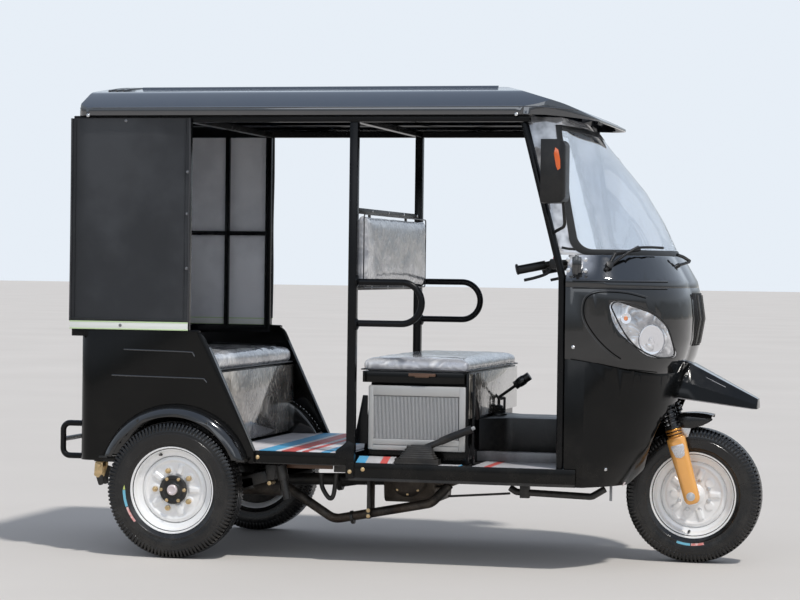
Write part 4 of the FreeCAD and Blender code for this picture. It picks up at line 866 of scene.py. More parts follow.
def build_wheel(node, wheel, body, driven=True):
    back = [(o, r + 3.0) for o, r in reversed(RIM_FACE[2:-2])]
    rim = wheel_shape(wheel, RIM_FACE + back, 120, True)
    made = make(node + "_rim", body, "rim_paint", [(rim, rim_silver)])
    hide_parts(node)
    make(node + "_disc", body, "rim_paint", [(pressed_disc(wheel), rim_silver)], angle=60)
    if driven:
        drum = wheel_shape(wheel, [(-38, 20), (-38, 96), (-36, 100), (-30, 104), (-2, 104), (1, 100),
            (2, 34)], 64)
        backing = wheel_shape(wheel, [(-47, 20), (-47, 140), (-44, 146), (-40, 147), (-38, 20)], 64)
        hub = wheel_shape(wheel, [(2, 40), (19, 40), (20, 54), (22, 55.5), (28, 55.5), (30, 54), (31, 50),
            (31, 41), (29, 39), (29, 30), (33, 27), (35, 24), (35, 3)], 48)
        make(node + "_hub", body, "steel_black", [(drum, drum_iron), ([backing, hub], chassis_black)], 0.6)
        nuts = [hexagon(wheel, 36 + 72 * k, 75, 11.0, 15, 30) for k in range(5)]
        nuts += [wheel_peg(wheel, 36 + 72 * k, 75, 5.6, 14, 35) for k in range(5)]
        nuts += [hexagon(wheel, 60 * k, 46.5, 7.6, 30, 38) for k in range(6)]
        make(node + "_nuts", body, "rim_paint", [(nuts, brass)], 0.5)
        cap = wheel_shape(wheel, [(30, 21), (42, 20.5), (45, 18), (46, 13), (44.5, 12), (44.5, 3)], 32)
        make(node + "_cap", body, "rim_paint", [(cap, cap_white)], 0.4)
    else:
        hub = wheel_shape(wheel, [(2, 44), (12, 44), (14, 42), (18, 30), (36, 28), (38, 24), (38, 3)], 48)
        back_hub = wheel_shape(wheel, [(-2, 30), (-40, 28), (-44, 24), (-44, 3)], 48)
        pads = [wheel_peg(wheel, 22.5 + 45 * k, 62, 8.5, 12, 18, 20) for k in range(8)]
        make(node + "_hub", body, "rim_paint", [(hub, rim_silver), (back_hub, drum_iron), (pads, zinc)], 1.0)
    angle = 111.5 if driven else 264
    valve = [wheel_peg(wheel, angle, 143, 5.0, 16, 26), wheel_peg(wheel, angle, 143, 3.2, 25, 42)]
    make(node + "_valve", body, "rim_paint", [(valve, soft_rubber)])


cap_white = finish_of("cap plating", (0.80, 0.70, 0.70), 0.25, 0.4, metallic=0.5, dust=0.04)
build_wheel("wheel_rear_right", REAR_RIGHT, "rear_wheel_right")
build_wheel("wheel_rear_left", REAR_LEFT, "rear_wheel_left")
build_wheel("wheel_front", FRONT, "front_wheel", False)


# Fork, lower legs and mudguard stays

LEG_Y = 90.0


def leg_point(along):
    """Middle of a fork leg, along its length from the axle upwards."""
    return (WHEELBASE - along * math.sin(RAKE), along * math.cos(RAKE) + HUB_Z)


def leg_at(side, along, u, v):
    """Scene point beside a fork leg: along it, then ahead and outwards."""
    x, z = leg_point(along)
    return at(x + u * math.cos(RAKE), side * (LEG_Y + v), z + u * math.sin(RAKE))


def coil(side, low, high, radius, wire, turns):
    path = []
    count = int(turns * 18)
    for k in range(count + 1):
        turn = 2 * math.pi * turns * k / count
        path.append(leg_at(side, low + (high - low) * k / count, radius * math.cos(turn),
            side * radius * math.sin(turn)))
    return sweep(path, circle(wire, 8))


def leg_peg(side, low, high, radius):
    x0, z0 = leg_point(low)
    x1, z1 = leg_point(high)
    return peg((x0, side * LEG_Y, z0), (x1, side * LEG_Y, z1), radius, 24)


def axis_point(z):
    """Station on the steering axis at a height."""
    return (WHEELBASE - 30 - (z - HUB_Z) * math.tan(RAKE), 0, z)


LEG_ROWS = [(-31, 20, 20, 9.5), (-29, 40, 28, 13.5), (-22, 54, 36, 17), (-10, 62, 42, 19), (8, 64, 44, 20),
    (60, 64, 45, 20), (130, 69, 46, 21), (214, 74, 46, 21), (226, 75, 46, 22), (233, 72, 44, 21),
    (235, 56, 38, 17)]


def build_fork():
    legs = []
    collars = []
    black = []
    glint_pegs = []
    labels = []
    for side in (-1, 1):
        legs.append(loft([[leg_at(side, along, u, side * v) for u, v in rounded_rectangle(*size, 4)]
            for along, *size in LEG_ROWS]))
        for low, high, radius in ((235, 243, 31), (247, 255, 32), (259, 267, 32)):
            collars.append(leg_peg(side, low, high, radius))
        black.append(leg_peg(side, 233, 396, 23))
        black.append(leg_peg(side, 268, 277, 31))
        black.append(coil(side, 279, 388, 27.5, 4.4, 6.5))
        # Painted highlights: bright zinc pegs beside the spring stand in for the glints on its coil
        for low in (286, 304, 322, 340):
            x, z = leg_point(low)
            glint_pegs.append(peg((x - 12, side * (LEG_Y + 22), z), (x - 12, side * (LEG_Y + 29), z + 1), 6, 10))
        shield = ((-22, 205), (-25, 196), (-16, 160), (2, 152), (20, 160), (27, 196), (24, 205))
        labels.append(loft([[leg_at(side, along, u, out) for u, along in shield] for out in (22.4, 24.2)]))
    made = make("fork_legs", "steering", "fork_paint", [(legs, fork_orange), (collars, fork_gold)], 1.0, 40)
    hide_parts("fork")
    yoke = []
    yoke_x = (leg_point(YOKE_ALONG)[0] + axis_point(YOKE_Z)[0]) / 2
    for across, corner in ((-120, 3), (-116, 8), (116, 8), (120, 3)):
        outline = rounded_rectangle(78 + corner, 24 + corner, corner, 3)
        yoke.append([at(yoke_x + u * math.cos(RAKE) - v * math.sin(RAKE), across,
            YOKE_Z + u * math.sin(RAKE) + v * math.cos(RAKE)) for u, v in outline])
    stem = peg(axis_point(YOKE_Z), axis_point(STEM_TOP), 14.6, 32)
    black += [loft(yoke), stem, peg((WHEELBASE, -LEG_Y, HUB_Z), (WHEELBASE, LEG_Y, HUB_Z), 14, 24)]
    make("fork_springs", "steering", "steel_black", [(black, spring_black)])
    make("fork_spring_glints", "steering", "steel_black", [(glint_pegs, zinc)], 0.6)
    make("fork_labels", "steering", "fork_paint", [(labels, label_silver)], 0.5)
    nuts = []
    for side in (-1, 1):
        for out0, out1, radius, sides in ((22, 27, 17, 24), (26, 32, 12, 6), (31, 34, 7, 16)):
            nuts.append(peg((WHEELBASE, side * (LEG_Y + out0 - 1), HUB_Z),
                (WHEELBASE, side * (LEG_Y + out1 - 1), HUB_Z), radius, sides))
    make("fork_axle_nuts", "steering", "steel_black", [(nuts, zinc)], 0.5)


YOKE_Z = 646.0
YOKE_ALONG = (YOKE_Z - HUB_Z) / math.cos(RAKE)
STEM_TOP = 1150.0
spring_black = finish_of("spring black", (0.010, 0.010, 0.0105), 0.10, 0.24, coat=0.5, dust=0.02,
    low_dust=0.1, relief_scale=320, strength=0.04)
fork_gold = finish_of("gold collar", (0.70, 0.30, 0.05), 0.14, 0.26, metallic=0.7, coat=0.4, dust=0.02)
build_fork()

# Front mudguard: side skirts and stays beside the tyre
skirts = [side_prism([(1850, 556, 4), (1915, 568, 10), (1985, 562, 8), (1999, 550, 4), (1975, 534, 10),
    (1930, 522, 12), (1880, 524, 10), (1856, 534, 6)], y0, y1) for y0, y1 in ((-69, -66), (66, 69))]
make("mudguard_skirts", "steering", "plastic_black", [(skirts, shiny_plastic)], 1.0)
guard_stays = [side_prism([(1874, 528, 3), (1930, 526, 6), (1918, 488, 8), (1890, 484, 8)], y0, y1)
    for y0, y1 in ((-65.5, -62.5), (62.5, 65.5))]
make("mudguard_stays", "steering", "fork_paint", [(guard_stays, zinc)], 1.0)


# Front end: trim lines, lamps, beak lip, grille, wiper, mirrors, handlebar

def skin_of(*nodes):
    """Surface of CAD nodes, to set trim on."""
    points = []
    faces = []
    for node in nodes:
        mesh = frame["nodes"][node].data
        start = len(points)
        points += [v.co.copy() for v in mesh.vertices]
        faces += [tuple(i + start for i in p.vertices) for p in mesh.polygons]
    return BVHTree.FromPolygons(points, faces)


def pressed(skin, station, towards, lift=0.0):
    """Where a ray from a station meets a surface, lifted off along its normal, and that normal."""
    direction = Vector(towards)
    place, normal = skin.ray_cast(at(*station), direction)[:2]
    if place is None:
        place = at(*station)
        normal = -direction
    if normal.dot(direction) > 0:
        normal = -normal
    return place + normal * (lift / 1000), normal


def bead(skin, rows, towards, radius, lift=0.0):
    """Round bead that follows a surface along stations."""
    path = [pressed(skin, ((p.x - AXLE_X) * 1000, p.y * 1000, p.z * 1000), towards, lift)[0]
        for p in flowing_path(rows, 10)]
    return sweep(path, circle(radius, 8))


def boss(place, normal, rows, segments=16):
    """Small turned piece, such as a screw or a snap, standing on a surface."""
    return lathe(rows, place, tuple(normal), segments)


LENS_SEGMENTS = 48
SCREW_ROWS = [(-2, 6.5), (1.2, 6.5), (2.4, 5.4), (3.0, 3.4), (2.0, 3.0), (2.0, 0.3)]
SNAP_ROWS = [(-1, 6.2), (1.0, 6.2), (2.0, 5.4), (2.4, 3.6), (3.6, 2.8), (4.0, 0.3)]
BOLT_ROWS = [(-2, 8.0), (0.8, 8.0), (1.2, 6.4), (5.0, 6.2), (6.2, 4.6), (6.4, 0.3)]

gloss_black = finish_of("gloss black", (0.0060, 0.0062, 0.0068), 0.04, 0.10, coat=1.0, dust=0.006,
    low_dust=0.05, relief_scale=240, strength=0.015)
give(shader_of(gloss_black), {"Coat IOR": 1.65})
give(shader_of(roof_black), {"Coat IOR": 2.0})
lip_and_highlight_grey = finish_of("lip and highlight grey", (0.36, 0.36, 0.38), 0.30, 0.45, dust=0.02)
groove_black = finish_of("groove black", (0.0015, 0.0015, 0.0015), 0.55, 0.75, dust=0.0, low_dust=0.0,
    specular=0.1)
button_red = finish_of("red button", (0.55, 0.02, 0.03), 0.2, 0.35, dust=0.0)


def painted_reflection_corner(base, name, tint, x_span, z_span, metal):
    """Copy of a finish with a painted sky reflection: it turns paler towards the corner beside the screen, in
    cloudy patches.
    """
    made = base.copy()
    made.name = name
    tree = made.node_tree
    place = place_axes(tree)
    along = window(tree, place[0], x_span[0] / 1000 + AXLE_X, x_span[1] / 1000 + AXLE_X)
    up = window(tree, place[2], z_span[0] / 1000, z_span[1] / 1000)
    clouds = window(tree, speckle(tree, object_place(tree), 9.0), 0.22, 0.55)
    share = maths(tree, "MULTIPLY", maths(tree, "SUBTRACT", 1.0, along), up)
    recoloured(made, maths(tree, "MULTIPLY", share, clouds), tint)
    give(shader_of(made), {"Metallic": metal})
    return made


# Painted reflection: the cowl top and screen frame turn pale grey towards the corner beside the screen
screen_side_reflection = painted_reflection_corner(gloss_black, "screen side painted reflection", (0.80, 0.81, 0.84), (1545, 1635), (1085, 1150), 0.4)
refined("cowl_top", "body_paint", screen_side_reflection, 2.0)
refined("windscreen_frame", "body_paint", screen_side_reflection, 1.5)

# Beak: painted reflection on one paint: its upper facets get the glossier, slightly lighter black and the
# others the duller black
beak = refined("nose_beak", "body_paint", body_black, 1.5)
beak.data.materials.append(gloss_black)
for face in beak.data.polygons:
    face.material_index = 1 if face.normal.z > 0.78 else 0

cowl_skin = skin_of("front_cowl", "cowl_top", "leg_shield", "headlamps")
for side, tag in SIDES:
    inward = (0, -side, 0)

    def row(*stations):
        return [(x, side * BESIDE, z) for x, z in stations]

    def line(z):
        return row((1540, z + 1), (1600, z + 1), (1660, z), (1720, z), (1780, z), (1830, z), (1868, z))

    trims = [bead(cowl_skin, line(z), inward, 1.7) for z in (1085, 1059)]
    trims.append(bead(cowl_skin, row((1536, 797), (1590, 789), (1650, 780), (1709, 766), (1781, 756),
        (1835, 748)), inward, 1.8))
    lamp_groove = row((1800, 1026), (1740, 1042), (1680, 1047), (1630, 1044), (1596, 1026), (1583, 989),
        (1588, 950), (1607, 912), (1640, 868), (1680, 828), (1717, 800))
    trims.append(bead(cowl_skin, lamp_groove, inward, 2.6, -0.6))
    part("cowl_lines_" + tag, "plastic_black", trims, groove_black)
    ridge = row((1806, 1032), (1742, 1049), (1680, 1054), (1624, 1050), (1588, 1030), (1575, 989),
        (1580, 946), (1600, 906), (1634, 862), (1674, 822), (1712, 795))
    glints = [bead(cowl_skin, ridge, inward, 2.0, -0.9)]
    glints += [bead(cowl_skin, line(z), inward, 1.6, -0.4) for z in (1090, 1063)]
    part("cowl_ridges_" + tag, "body_paint", glints, gloss_black)

lens_skin = skin_of("headlamps")
reflector_chrome = finish_of("reflector chrome", (0.90, 0.91, 0.93), 0.05, 0.16, metallic=1.0, dust=0.0,
    low_dust=0.0, relief=CRINKLED, relief_scale=15, strength=0.6, depth=0.008)
bulb_amber = finish_of("amber bulb", (0.85, 0.30, 0.12), 0.1, 0.2, coat=0.5, dust=0.0, low_dust=0.0)


def shrunk(node, amount):
    """Copy of a CAD node's shape drawn in along its normals, in millimetres."""
    shell = bmesh.new()
    shell.from_mesh(frame["nodes"][node].data)
    bmesh.ops.remove_doubles(shell, verts=shell.verts, dist=0.00001)
    bmesh.ops.recalc_face_normals(shell, faces=shell.faces)
    shell.normal_update()
    points = [v.co - v.normal * (amount / 1000) for v in shell.verts]
    faces = [tuple(v.index for v in face.verts) for face in shell.faces]
    shell.free()
    return points, faces


def lens_dish(side, x, z, rows):
    """Rings pressed on the lamp lens: (radius, depth below the lens) from the rim to the middle."""
    rings = []
    for radius, depth in rows:
        ring = []
        for k in range(LENS_SEGMENTS):
            angle = 2 * math.pi * k / LENS_SEGMENTS
            spot = (x + 0.72 * radius * math.cos(angle), side * BESIDE, z + radius * math.sin(angle))
            ring.append(pressed(cowl_skin, spot, (0, -side, 0), -depth)[0])
        rings.append(ring)
    return loft(rings)


# Painted reflection: the reflector chrome is dark grey in the hollows of its crinkled relief and near white
# on the rises
paint_light_by_relief(reflector_chrome, (0.34, 0.345, 0.36), (0.97, 0.97, 0.98))
refined("headlamps", "lamp_clear", lens_clear, 1.0)
make("headlamp_reflectors", "body", "lamp_clear", [(shrunk("headlamps", 2.6), reflector_chrome)], angle=28)
for side, tag in SIDES:
    inward = (0, -side, 0)
    place, normal = pressed(lens_skin, (1822, side * BESIDE, 870), inward, 0)
    bowl = lens_dish(side, 1822, 870, [(57, 1.6), (55.5, 0.2), (53, 0.4), (50, 1.6), (40, 2.1), (22, 2.3),
        (2, 2.4)])
    turn, turned = pressed(lens_skin, (1735, side * BESIDE, 950), inward, 0)
    turn_bowl = boss(turn, turned, [(-5, 22), (-1.4, 21), (-1.0, 19.5), (-1.8, 17), (-2.0, 0.4)], 32)
    part("headlamp_bowls_" + tag, "lamp_clear", [bowl, turn_bowl], chrome, 0.4, 50)
    dark_ring = lens_dish(side, 1822, 870, [(60.5, 1.8), (60, 0.8), (57.5, 0.7), (57, 1.8)])
    bulb = boss(turn, turned, [(-3, 9), (-1.2, 8.4), (-0.4, 6), (0.0, 3), (0.2, 0.3)], 20)
    main_bulb = boss(place, normal, [(-3, 12), (0.2, 11), (0.6, 7), (0.7, 0.3)], 20)
    make("headlamp_bulbs_" + tag, "body", "lamp_clear", [(bulb, bulb_amber), (dark_ring, lip_and_highlight_grey),
        (main_bulb, label_silver)])
    edge_rows = [(1693, 1009), (1716, 1012), (1770, 1001), (1822, 975), (1862, 938), (1880, 900), (1889, 862),
        (1893, 826), (1886, 806), (1850, 803), (1812, 817), (1773, 843), (1741, 880), (1716, 922),
        (1694, 968), (1684, 994), (1693, 1009)]
    rim = bead(cowl_skin, [(x, side * BESIDE, z) for x, z in edge_rows], inward, 2.6, -0.6)
    part("headlamp_seals_" + tag, "seal_rubber", rim, soft_rubber)
    screws = [boss(*pressed(cowl_skin, (x, side * BESIDE, z), inward), SCREW_ROWS)
        for x, z in ((1545, 841), (1662, 385))]
    part("cowl_screws_" + tag, "steel_black", screws, zinc)

lip_and_ridge_highlights = [tube([(1858, -148, 648, 0), (2163, -54, 605, 12), (2178, 0, 603, 20), (2163, 54, 605, 12),
    (1858, 148, 648, 0)], 4.0)]
# Painted highlights: thin grey hoses along the beak's top ridges stand in for the bright reflection on its
# edges
for s in (-1, 1):
    lip_and_ridge_highlights.append(hose([(1908, s * 83, 757.5), (1980, s * 77, 723), (2060, s * 67, 684)], 1.5, 8))
part("beak_lip_and_ridge_highlights", "plastic_black", lip_and_ridge_highlights, lip_and_highlight_grey)

# Grille: slats that follow the kinked front
grille_skin = skin_of("grille")
slat_grey = finish_of("slat grey", (0.085, 0.083, 0.078), 0.16, 0.28, coat=0.6, dust=0.02)
slats = []
for k in range(-6, 7):
    y = 17.5 * k
    path = [pressed(grille_skin, (2300, y, z), (-1, 0, 0), 1.0)[0]
        for z in (850, 880, 915, 945, 975, 1005, 1036)]
    slats.append(sweep(path, rounded_rectangle(6.5, 5.0, 1.6, 2), up=(0, 1, 0)))
part("grille_slats", "plastic_black", slats, slat_grey)
strap = [block(1658, 1668, s * 342 - 4, s * 342 + 4, 256, 322) for s in (-1, 1)]
tab = [side_prism([(1696, 330, 2), (1722, 330, 2), (1710, 314, 3)], s * 352 - 4, s * 352 + 4)
    for s in (-1, 1)]
make("shield_straps", "body", "plastic_black", [(strap, piping_grey), (tab, cap_white)], 1.5)

# Wiper blade, spindles and washer at the foot of the screen
pieces = [hose([(1663, -497, 1134), (1690, -480, 1160), (1730, -452, 1192), (1762, -424, 1212),
    (1800, -372, 1216), (1842, -300, 1215)], 5.0),
    hose([(1668, -492, 1143), (1700, -470, 1173), (1740, -440, 1203), (1765, -415, 1219)], 3.4),
    peg((1655, -505, 1126), (1668, -490, 1146), 9, 16),
    hose([(1884, -205, 1190), (1902, -160, 1182), (1918, -100, 1168)], 6.5),
    hose([(1886, -200, 1150), (1906, -150, 1158), (1918, -110, 1164)], 5.5),
    peg((1872, -210, 1140), (1890, -190, 1152), 9, 14)]
part("wiper_arms", "plastic_black", pieces, plastic_black, 0.5)

# Mirrors: reflectors facing out
mirror_skin = skin_of("mirrors")
for side, tag in SIDES:
    rows = [(1494, 1574), (1505, 1566), (1512, 1530), (1513, 1498), (1504, 1490), (1498, 1504), (1489, 1552)]
    outer = [[pressed(mirror_skin, (x, side * 760, z), (0, -side, 0), lift)[0] for x, z in rows]
        for lift in (-2.0, 2.4)]
    make("mirror_reflector_" + tag, "body", "lamp_clear", [(loft(outer), lamp_orange)], 1.2, 50)

# Handlebar: grip rings, switch boxes with a button, levers and cables
for side, tag in SIDES:

    def bar(x, y, z):
        return (x, side * y, z)

    ring = peg(bar(1276, 281.3, 1126), bar(1284, 281, 1127.8), 21, 24)
    make("grip_rings_" + tag, "steering", "plastic_black", [(ring, soft_rubber)], 0.6)
    box_shape = block(1408, 1452, side * 282 - 24, side * 282 + 20, 1130, 1169)
    make("switch_box_" + tag, "steering", "plastic_black", [(box_shape, plastic_black)], 7.0, 40)
    button = peg(bar(1424, 276, 1167), bar(1424, 276, 1177), 7, 16)
    lever = hose([bar(1424, 276, 1138), bar(1394, 284, 1112), bar(1350, 286, 1096),
        bar(1308, 284, 1086)], 6.0)
    cable = hose([bar(1440, 262, 1140), bar(1456, 252, 1108), bar(1470, 214, 1092), bar(1520, 150, 1096),
        bar(1590, 60, 1118)], 4.5)
    make("levers_" + tag, "steering", "plastic_black", [(button, button_red), (lever, plastic_black),
        (cable, soft_rubber)])

# Black clamp with four bolts, and the bracket from the pillar
for side, tag in SIDES:
    clamp = [block(1538, 1572, side * 542 - 9, side * 542 + 9, 1116, 1176),
        block(1548, 1562, side * 545 - 14, side * 545 + 14, 1110, 1182)]
    part("screen_clamp_" + tag, "plastic_black", clamp, gloss_black, 3.0, 50)
    bolts = [boss(at(x, side * 551, z), (0, side, 0), BOLT_ROWS) for x in (1524, 1588) for z in (1126, 1166)]
    part("screen_clamp_bolts_" + tag, "steel_black", bolts, zinc)
    arm = [hose([(1496, side * 533, 1210), (1520, side * 536, 1206), (1548, side * 538, 1204)], 5.0)]
    part("pillar_bracket_" + tag, "plastic_black", arm, plastic_black)

# Curtains, tub trim, roof trim

CLOTH_THICKNESS = 1.8
CLOTH_STEP = 16


def cloth_grid(name, across, along, place, wave, hole=None):
    """Closed thin cloth over a grid; place(a, b, depth) gives a station, hole is a window left out."""
    def ticks(low, high, extra):
        """Even marks between two limits, with the edges of the hole among them."""
        count = max(2, round((high - low) / CLOTH_STEP))
        marks = {round(low + (high - low) * k / count, 3) for k in range(count + 1)} | set(extra)
        kept = []
        for mark in sorted(marks):
            if kept and mark - kept[-1] < CLOTH_STEP * 0.3:
                if mark in extra:
                    kept[-1] = mark
                continue
            kept.append(mark)
        return kept

    a_marks = ticks(*across, hole[:2] if hole else ())
    b_marks = ticks(*along, hole[2:] if hole else ())
    points = []
    front = []
    back = []
    number = {}

    def vertex(i, j, layer):
        key = (i, j, layer)
        if key not in number:
            number[key] = len(points)
            a = a_marks[i]
            b = b_marks[j]
            points.append(at(*place(a, b, wave(a, b) + layer * CLOTH_THICKNESS)))
        return number[key]

    inside_cells = set()
    for i in range(len(a_marks) - 1):
        for j in range(len(b_marks) - 1):
            middle_a = (a_marks[i] + a_marks[i + 1]) / 2
            middle_b = (b_marks[j] + b_marks[j + 1]) / 2
            if not (hole and hole[0] < middle_a < hole[1] and hole[2] < middle_b < hole[3]):
                inside_cells.add((i, j))
    for i, j in sorted(inside_cells):
        ring = [(i, j), (i + 1, j), (i + 1, j + 1), (i, j + 1)]
        front.append(tuple(vertex(*corner, 0) for corner in ring))
        back.append(tuple(vertex(*corner, 1) for corner in reversed(ring)))
        for k, step in enumerate(((0, -1), (1, 0), (0, 1), (-1, 0))):
            if (i + step[0], j + step[1]) not in inside_cells:
                first = ring[k]
                last = ring[(k + 1) % 4]
                front.append((vertex(*last, 0), vertex(*first, 0), vertex(*first, 1), vertex(*last, 1)))
    return make(name, "body", "curtain_cloth", [((points, front), curtain_vinyl),
        ((points, back), lining_grey)], angle=60)


def waves(seed, amount):
    def wave(a, b):
        spot = Vector((a / 260 + seed, b / 420, seed))
        fine = Vector((a / 70, b / 150 + seed, seed * 2))
        return amount * noise.noise(spot) + amount * 0.55 * noise.noise(fine)
    return wave


CURTAIN_REAR = -434
CURTAIN_FRONT = 46
CURTAIN_LOW = 906
CURTAIN_HIGH = 1692
CURTAIN_OUT = 560.5
REAR_CLOTH = -435.5
WINDOW_SIDE = 260.0
WINDOW_LOW = 1290.0
WINDOW_HIGH = 1520.0
STRAPS_Y = (-400, 400)
strip_white = finish_of("strip white", (0.86, 0.89, 0.85), 0.30, 0.45, coat=0.3, dust=0.02, low_dust=0.0)
strip_green = finish_of("strip green", (0.62, 0.80, 0.45), 0.30, 0.45, coat=0.3, dust=0.02, low_dust=0.0)
curtain_edge = finish_of("curtain edge", (0.035, 0.036, 0.040), 0.26, 0.38, dust=0.0, low_dust=0.0)
snap_grey = finish_of("snap grey", (0.22, 0.22, 0.23), 0.22, 0.36, metallic=0.8, dust=0.0, low_dust=0.0)
for side, tag in SIDES:

    def side_place(a, b, depth, side=side):
        return (a, side * (CURTAIN_OUT - depth), b)

    cloth = cloth_grid("side_curtain_" + tag, (CURTAIN_REAR, CURTAIN_FRONT), (CURTAIN_LOW, CURTAIN_HIGH),
        side_place, waves(side * 3.7, 4.4))
    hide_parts("side_curtains")
    y = side * (CURTAIN_OUT + 2)
    front = CURTAIN_FRONT + 1
    piping = [hose([(front, y, CURTAIN_LOW), (front + 1.5, y, 1100), (front - 1, y, 1300),
        (front + 1, y, 1500), (front, y, CURTAIN_HIGH)], 4.2),
        hose([(CURTAIN_REAR - 1, y, CURTAIN_LOW), (CURTAIN_REAR, y, 1300),
        (CURTAIN_REAR - 1, y, CURTAIN_HIGH)], 3.6)]
    hem = hose([(CURTAIN_REAR, y + side, 917), (-200, y + side, 915), (CURTAIN_FRONT, y + side, 914)], 1.6)
    seam = [hose([(x, y + side * 0.8, 920), (x, y + side * 0.8, 1300), (x, y + side * 0.8, 1688)], 1.3)
        for x in (CURTAIN_FRONT - 16, CURTAIN_REAR + 16)]
    part("curtain_piping_" + tag, "curtain_cloth", piping, curtain_edge)
    part("curtain_hems_" + tag, "curtain_cloth", [hem, *seam], curtain_vinyl)
    snaps = [boss(at(x, side * (CURTAIN_OUT + 1.5), z), (0, side, 0), SNAP_ROWS)
        for x, z in ((40, 1485), (40, 1324), (40, 1114), (-213, 1682))]
    snaps.append(boss(at(-226, side * 566, 891), (0, side, 0), SNAP_ROWS))
    part("curtain_snaps_" + tag, "steel_black", snaps, snap_grey)
    white = block(CURTAIN_REAR, CURTAIN_FRONT + 2, min(y, y + side * 3), max(y, y + side * 3), 878, 904)
    edges = [block(CURTAIN_REAR - 1, CURTAIN_FRONT + 3, min(y - side, y + side * 4),
        max(y - side, y + side * 4), low, low + 4.5) for low in (874.5, 902)]
    make("tub_strip_" + tag, "body", "plastic_black", [(white, strip_white), (edges, strip_green)], 0.8)


def rear_place(a, b, depth):
    return (REAR_CLOTH + depth, a, b)


cloth = cloth_grid("rear_curtain_cloth", (-555, 555), (884, 1692), rear_place, waves(9.1, 2.6),
    (-WINDOW_SIDE, WINDOW_SIDE, WINDOW_LOW, WINDOW_HIGH))
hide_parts("rear_curtain")
x = REAR_CLOTH - 2
y = WINDOW_SIDE + 2
z0 = WINDOW_LOW - 2
z1 = WINDOW_HIGH + 2
binding = sweep(rounded_path([(x, -y, 1405, 0), (x, -y, z1, 22), (x, y, z1, 22), (x, y, z0, 22),
    (x, -y, z0, 22), (x, -y, 1400, 0)], 6), rounded_rectangle(3.0, 15.0, 1.2, 2))
part("window_binding", "curtain_cloth", binding, curtain_vinyl)
straps = [sweep(rounded_path([(REAR_CLOTH - 3, y, 1690, 0), (REAR_CLOTH - 5.5, y, 1560, 20),
    (REAR_CLOTH - 5, y, 1180, 0)], 6), rounded_rectangle(24, 2.4, 1.0, 2), up=(1, 0, 0)) for y in STRAPS_Y]
part("curtain_straps", "curtain_cloth", straps, piping_grey)
buckles = []
for y in STRAPS_Y:
    for low, high in ((1236, 1240), (1262, 1266)):
        buckles.append(block(-446, -440, y - 17, y + 17, low, high))
    for inner in (-17, 13):
        buckles.append(block(-446, -440, y + inner, y + inner + 4, 1236, 1266))
part("strap_buckles", "steel_black", buckles, zinc, 1.2)
snap_places = [(y, z) for y in (-540, 540) for z in (920, 1100, 1300, 1500, 1680)]
snap_places += [(y, z) for y in (-360, -120, 120, 360) for z in (900, 1680)]
snaps = [boss(at(REAR_CLOTH - 1, y, z), (-1, 0, 0), SNAP_ROWS) for y, z in snap_places]
part("rear_curtain_snaps", "steel_black", snaps, zinc)

# Tub: pressed lines and edge trim
for side, tag in SIDES:
    y = side * 556.0
    lines = [hose([(x, y, z) for x, z in rows], 3.2) for rows in (
        ((-213, 798), (-120, 796), (0, 794), (60, 792), (68, 788), (75, 776)),
        ((-261, 697), (-150, 695), (0, 693), (106, 691), (116, 687), (126, 677)))]
    part("tub_swages_" + tag, "body_paint", lines, gloss_black)
    edge = [hose([(-398, y, 873), (-200, y, 874), (60, y, 874), (96, y, 871)], 3.4)]
    part("tub_edges_" + tag, "body_paint", edge, frame_black)

# Roof: ribs, gutter lines and screws
roof_skin = skin_of("roof_shell")
ribs = []
for x in (-330, -300, -270):
    path = [pressed(roof_skin, (x, y, 1900), (0, 0, -1), 0.5)[0] for y in range(-440, 441, 40)]
    ribs.append(sweep(path, circle(5.0, 8, 0.5)))
for y in (-300, 0, 300):
    path = [pressed(roof_skin, (x, y, 1900), (0, 0, -1), 0.5)[0] for x in range(-240, 1241, 80)]
    ribs.append(sweep(path, circle(7.0, 8, 0.6)))
part("roof_ribs", "roof_paint", ribs, roof_black)
gutters = []
screws = []
for side in (-1, 1):
    path = [pressed(roof_skin, (x, side * BESIDE, 1731), (0, -side, 0), 0.3)[0]
        for x in range(-400, 1401, 60)]
    path += [pressed(roof_skin, (x, side * BESIDE, 1731 - (x - 1400) * 0.05), (0, -side, 0), 0.3)[0]
        for x in range(1420, 1560, 20)]
    gutters.append(sweep(path, circle(2.6, 8)))
    for x in (-360, 1327):
        screws.append(boss(*pressed(roof_skin, (x, side * BESIDE, 1702), (0, -side, 0)), SCREW_ROWS))
part("roof_lines", "roof_paint", gutters, roof_black)
part("roof_screws", "steel_black", screws, zinc)

# Tail lamps, reflectors and a blank plate
tail_lenses = []
for y in (-450, 450):
    for z0, z1, tint in ((692, 746, lamp_red), (748, 786, lamp_orange), (788, 828, lamp_red)):
        ridges = [block(-412, -402, y - 19, y + 19, z0, z1)]
        ridges += [block(-414, -411, y - 16 + 6 * k, y - 13 + 6 * k, z0 + 4, z1 - 4) for k in range(6)]
        tail_lenses.append((ridges, tint))
tail = make("tail_lenses", "body", "lamp_red", tail_lenses, 1.0)
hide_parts("tail_lamps")
for side, tag in SIDES:
    frame_ring = sweep(rounded_path([(-409, side * 451 - 22, 760, 0), (-409, side * 451 - 22, 826, 8),
        (-409, side * 451 + 20, 826, 8), (-409, side * 451 + 20, 694, 8), (-409, side * 451 - 22, 694, 8),
        (-409, side * 451 - 22, 756, 0)], 5), rounded_rectangle(6, 5, 1.5, 2))
    part("tail_lamp_frame_" + tag, "plastic_black", frame_ring, plastic_black)
plate = front_prism([(-110, 560, 8), (110, 560, 8), (110, 640, 8), (-110, 640, 8)], -408, -403)
part("blank_plate", "plastic_black", plate, label_silver, 0.8)
plate_bolts = [boss(at(-408, y, 628), (-1, 0, 0), BOLT_ROWS) for y in (-90, 90)]
part("plate_bolts", "steel_black", plate_bolts, zinc)

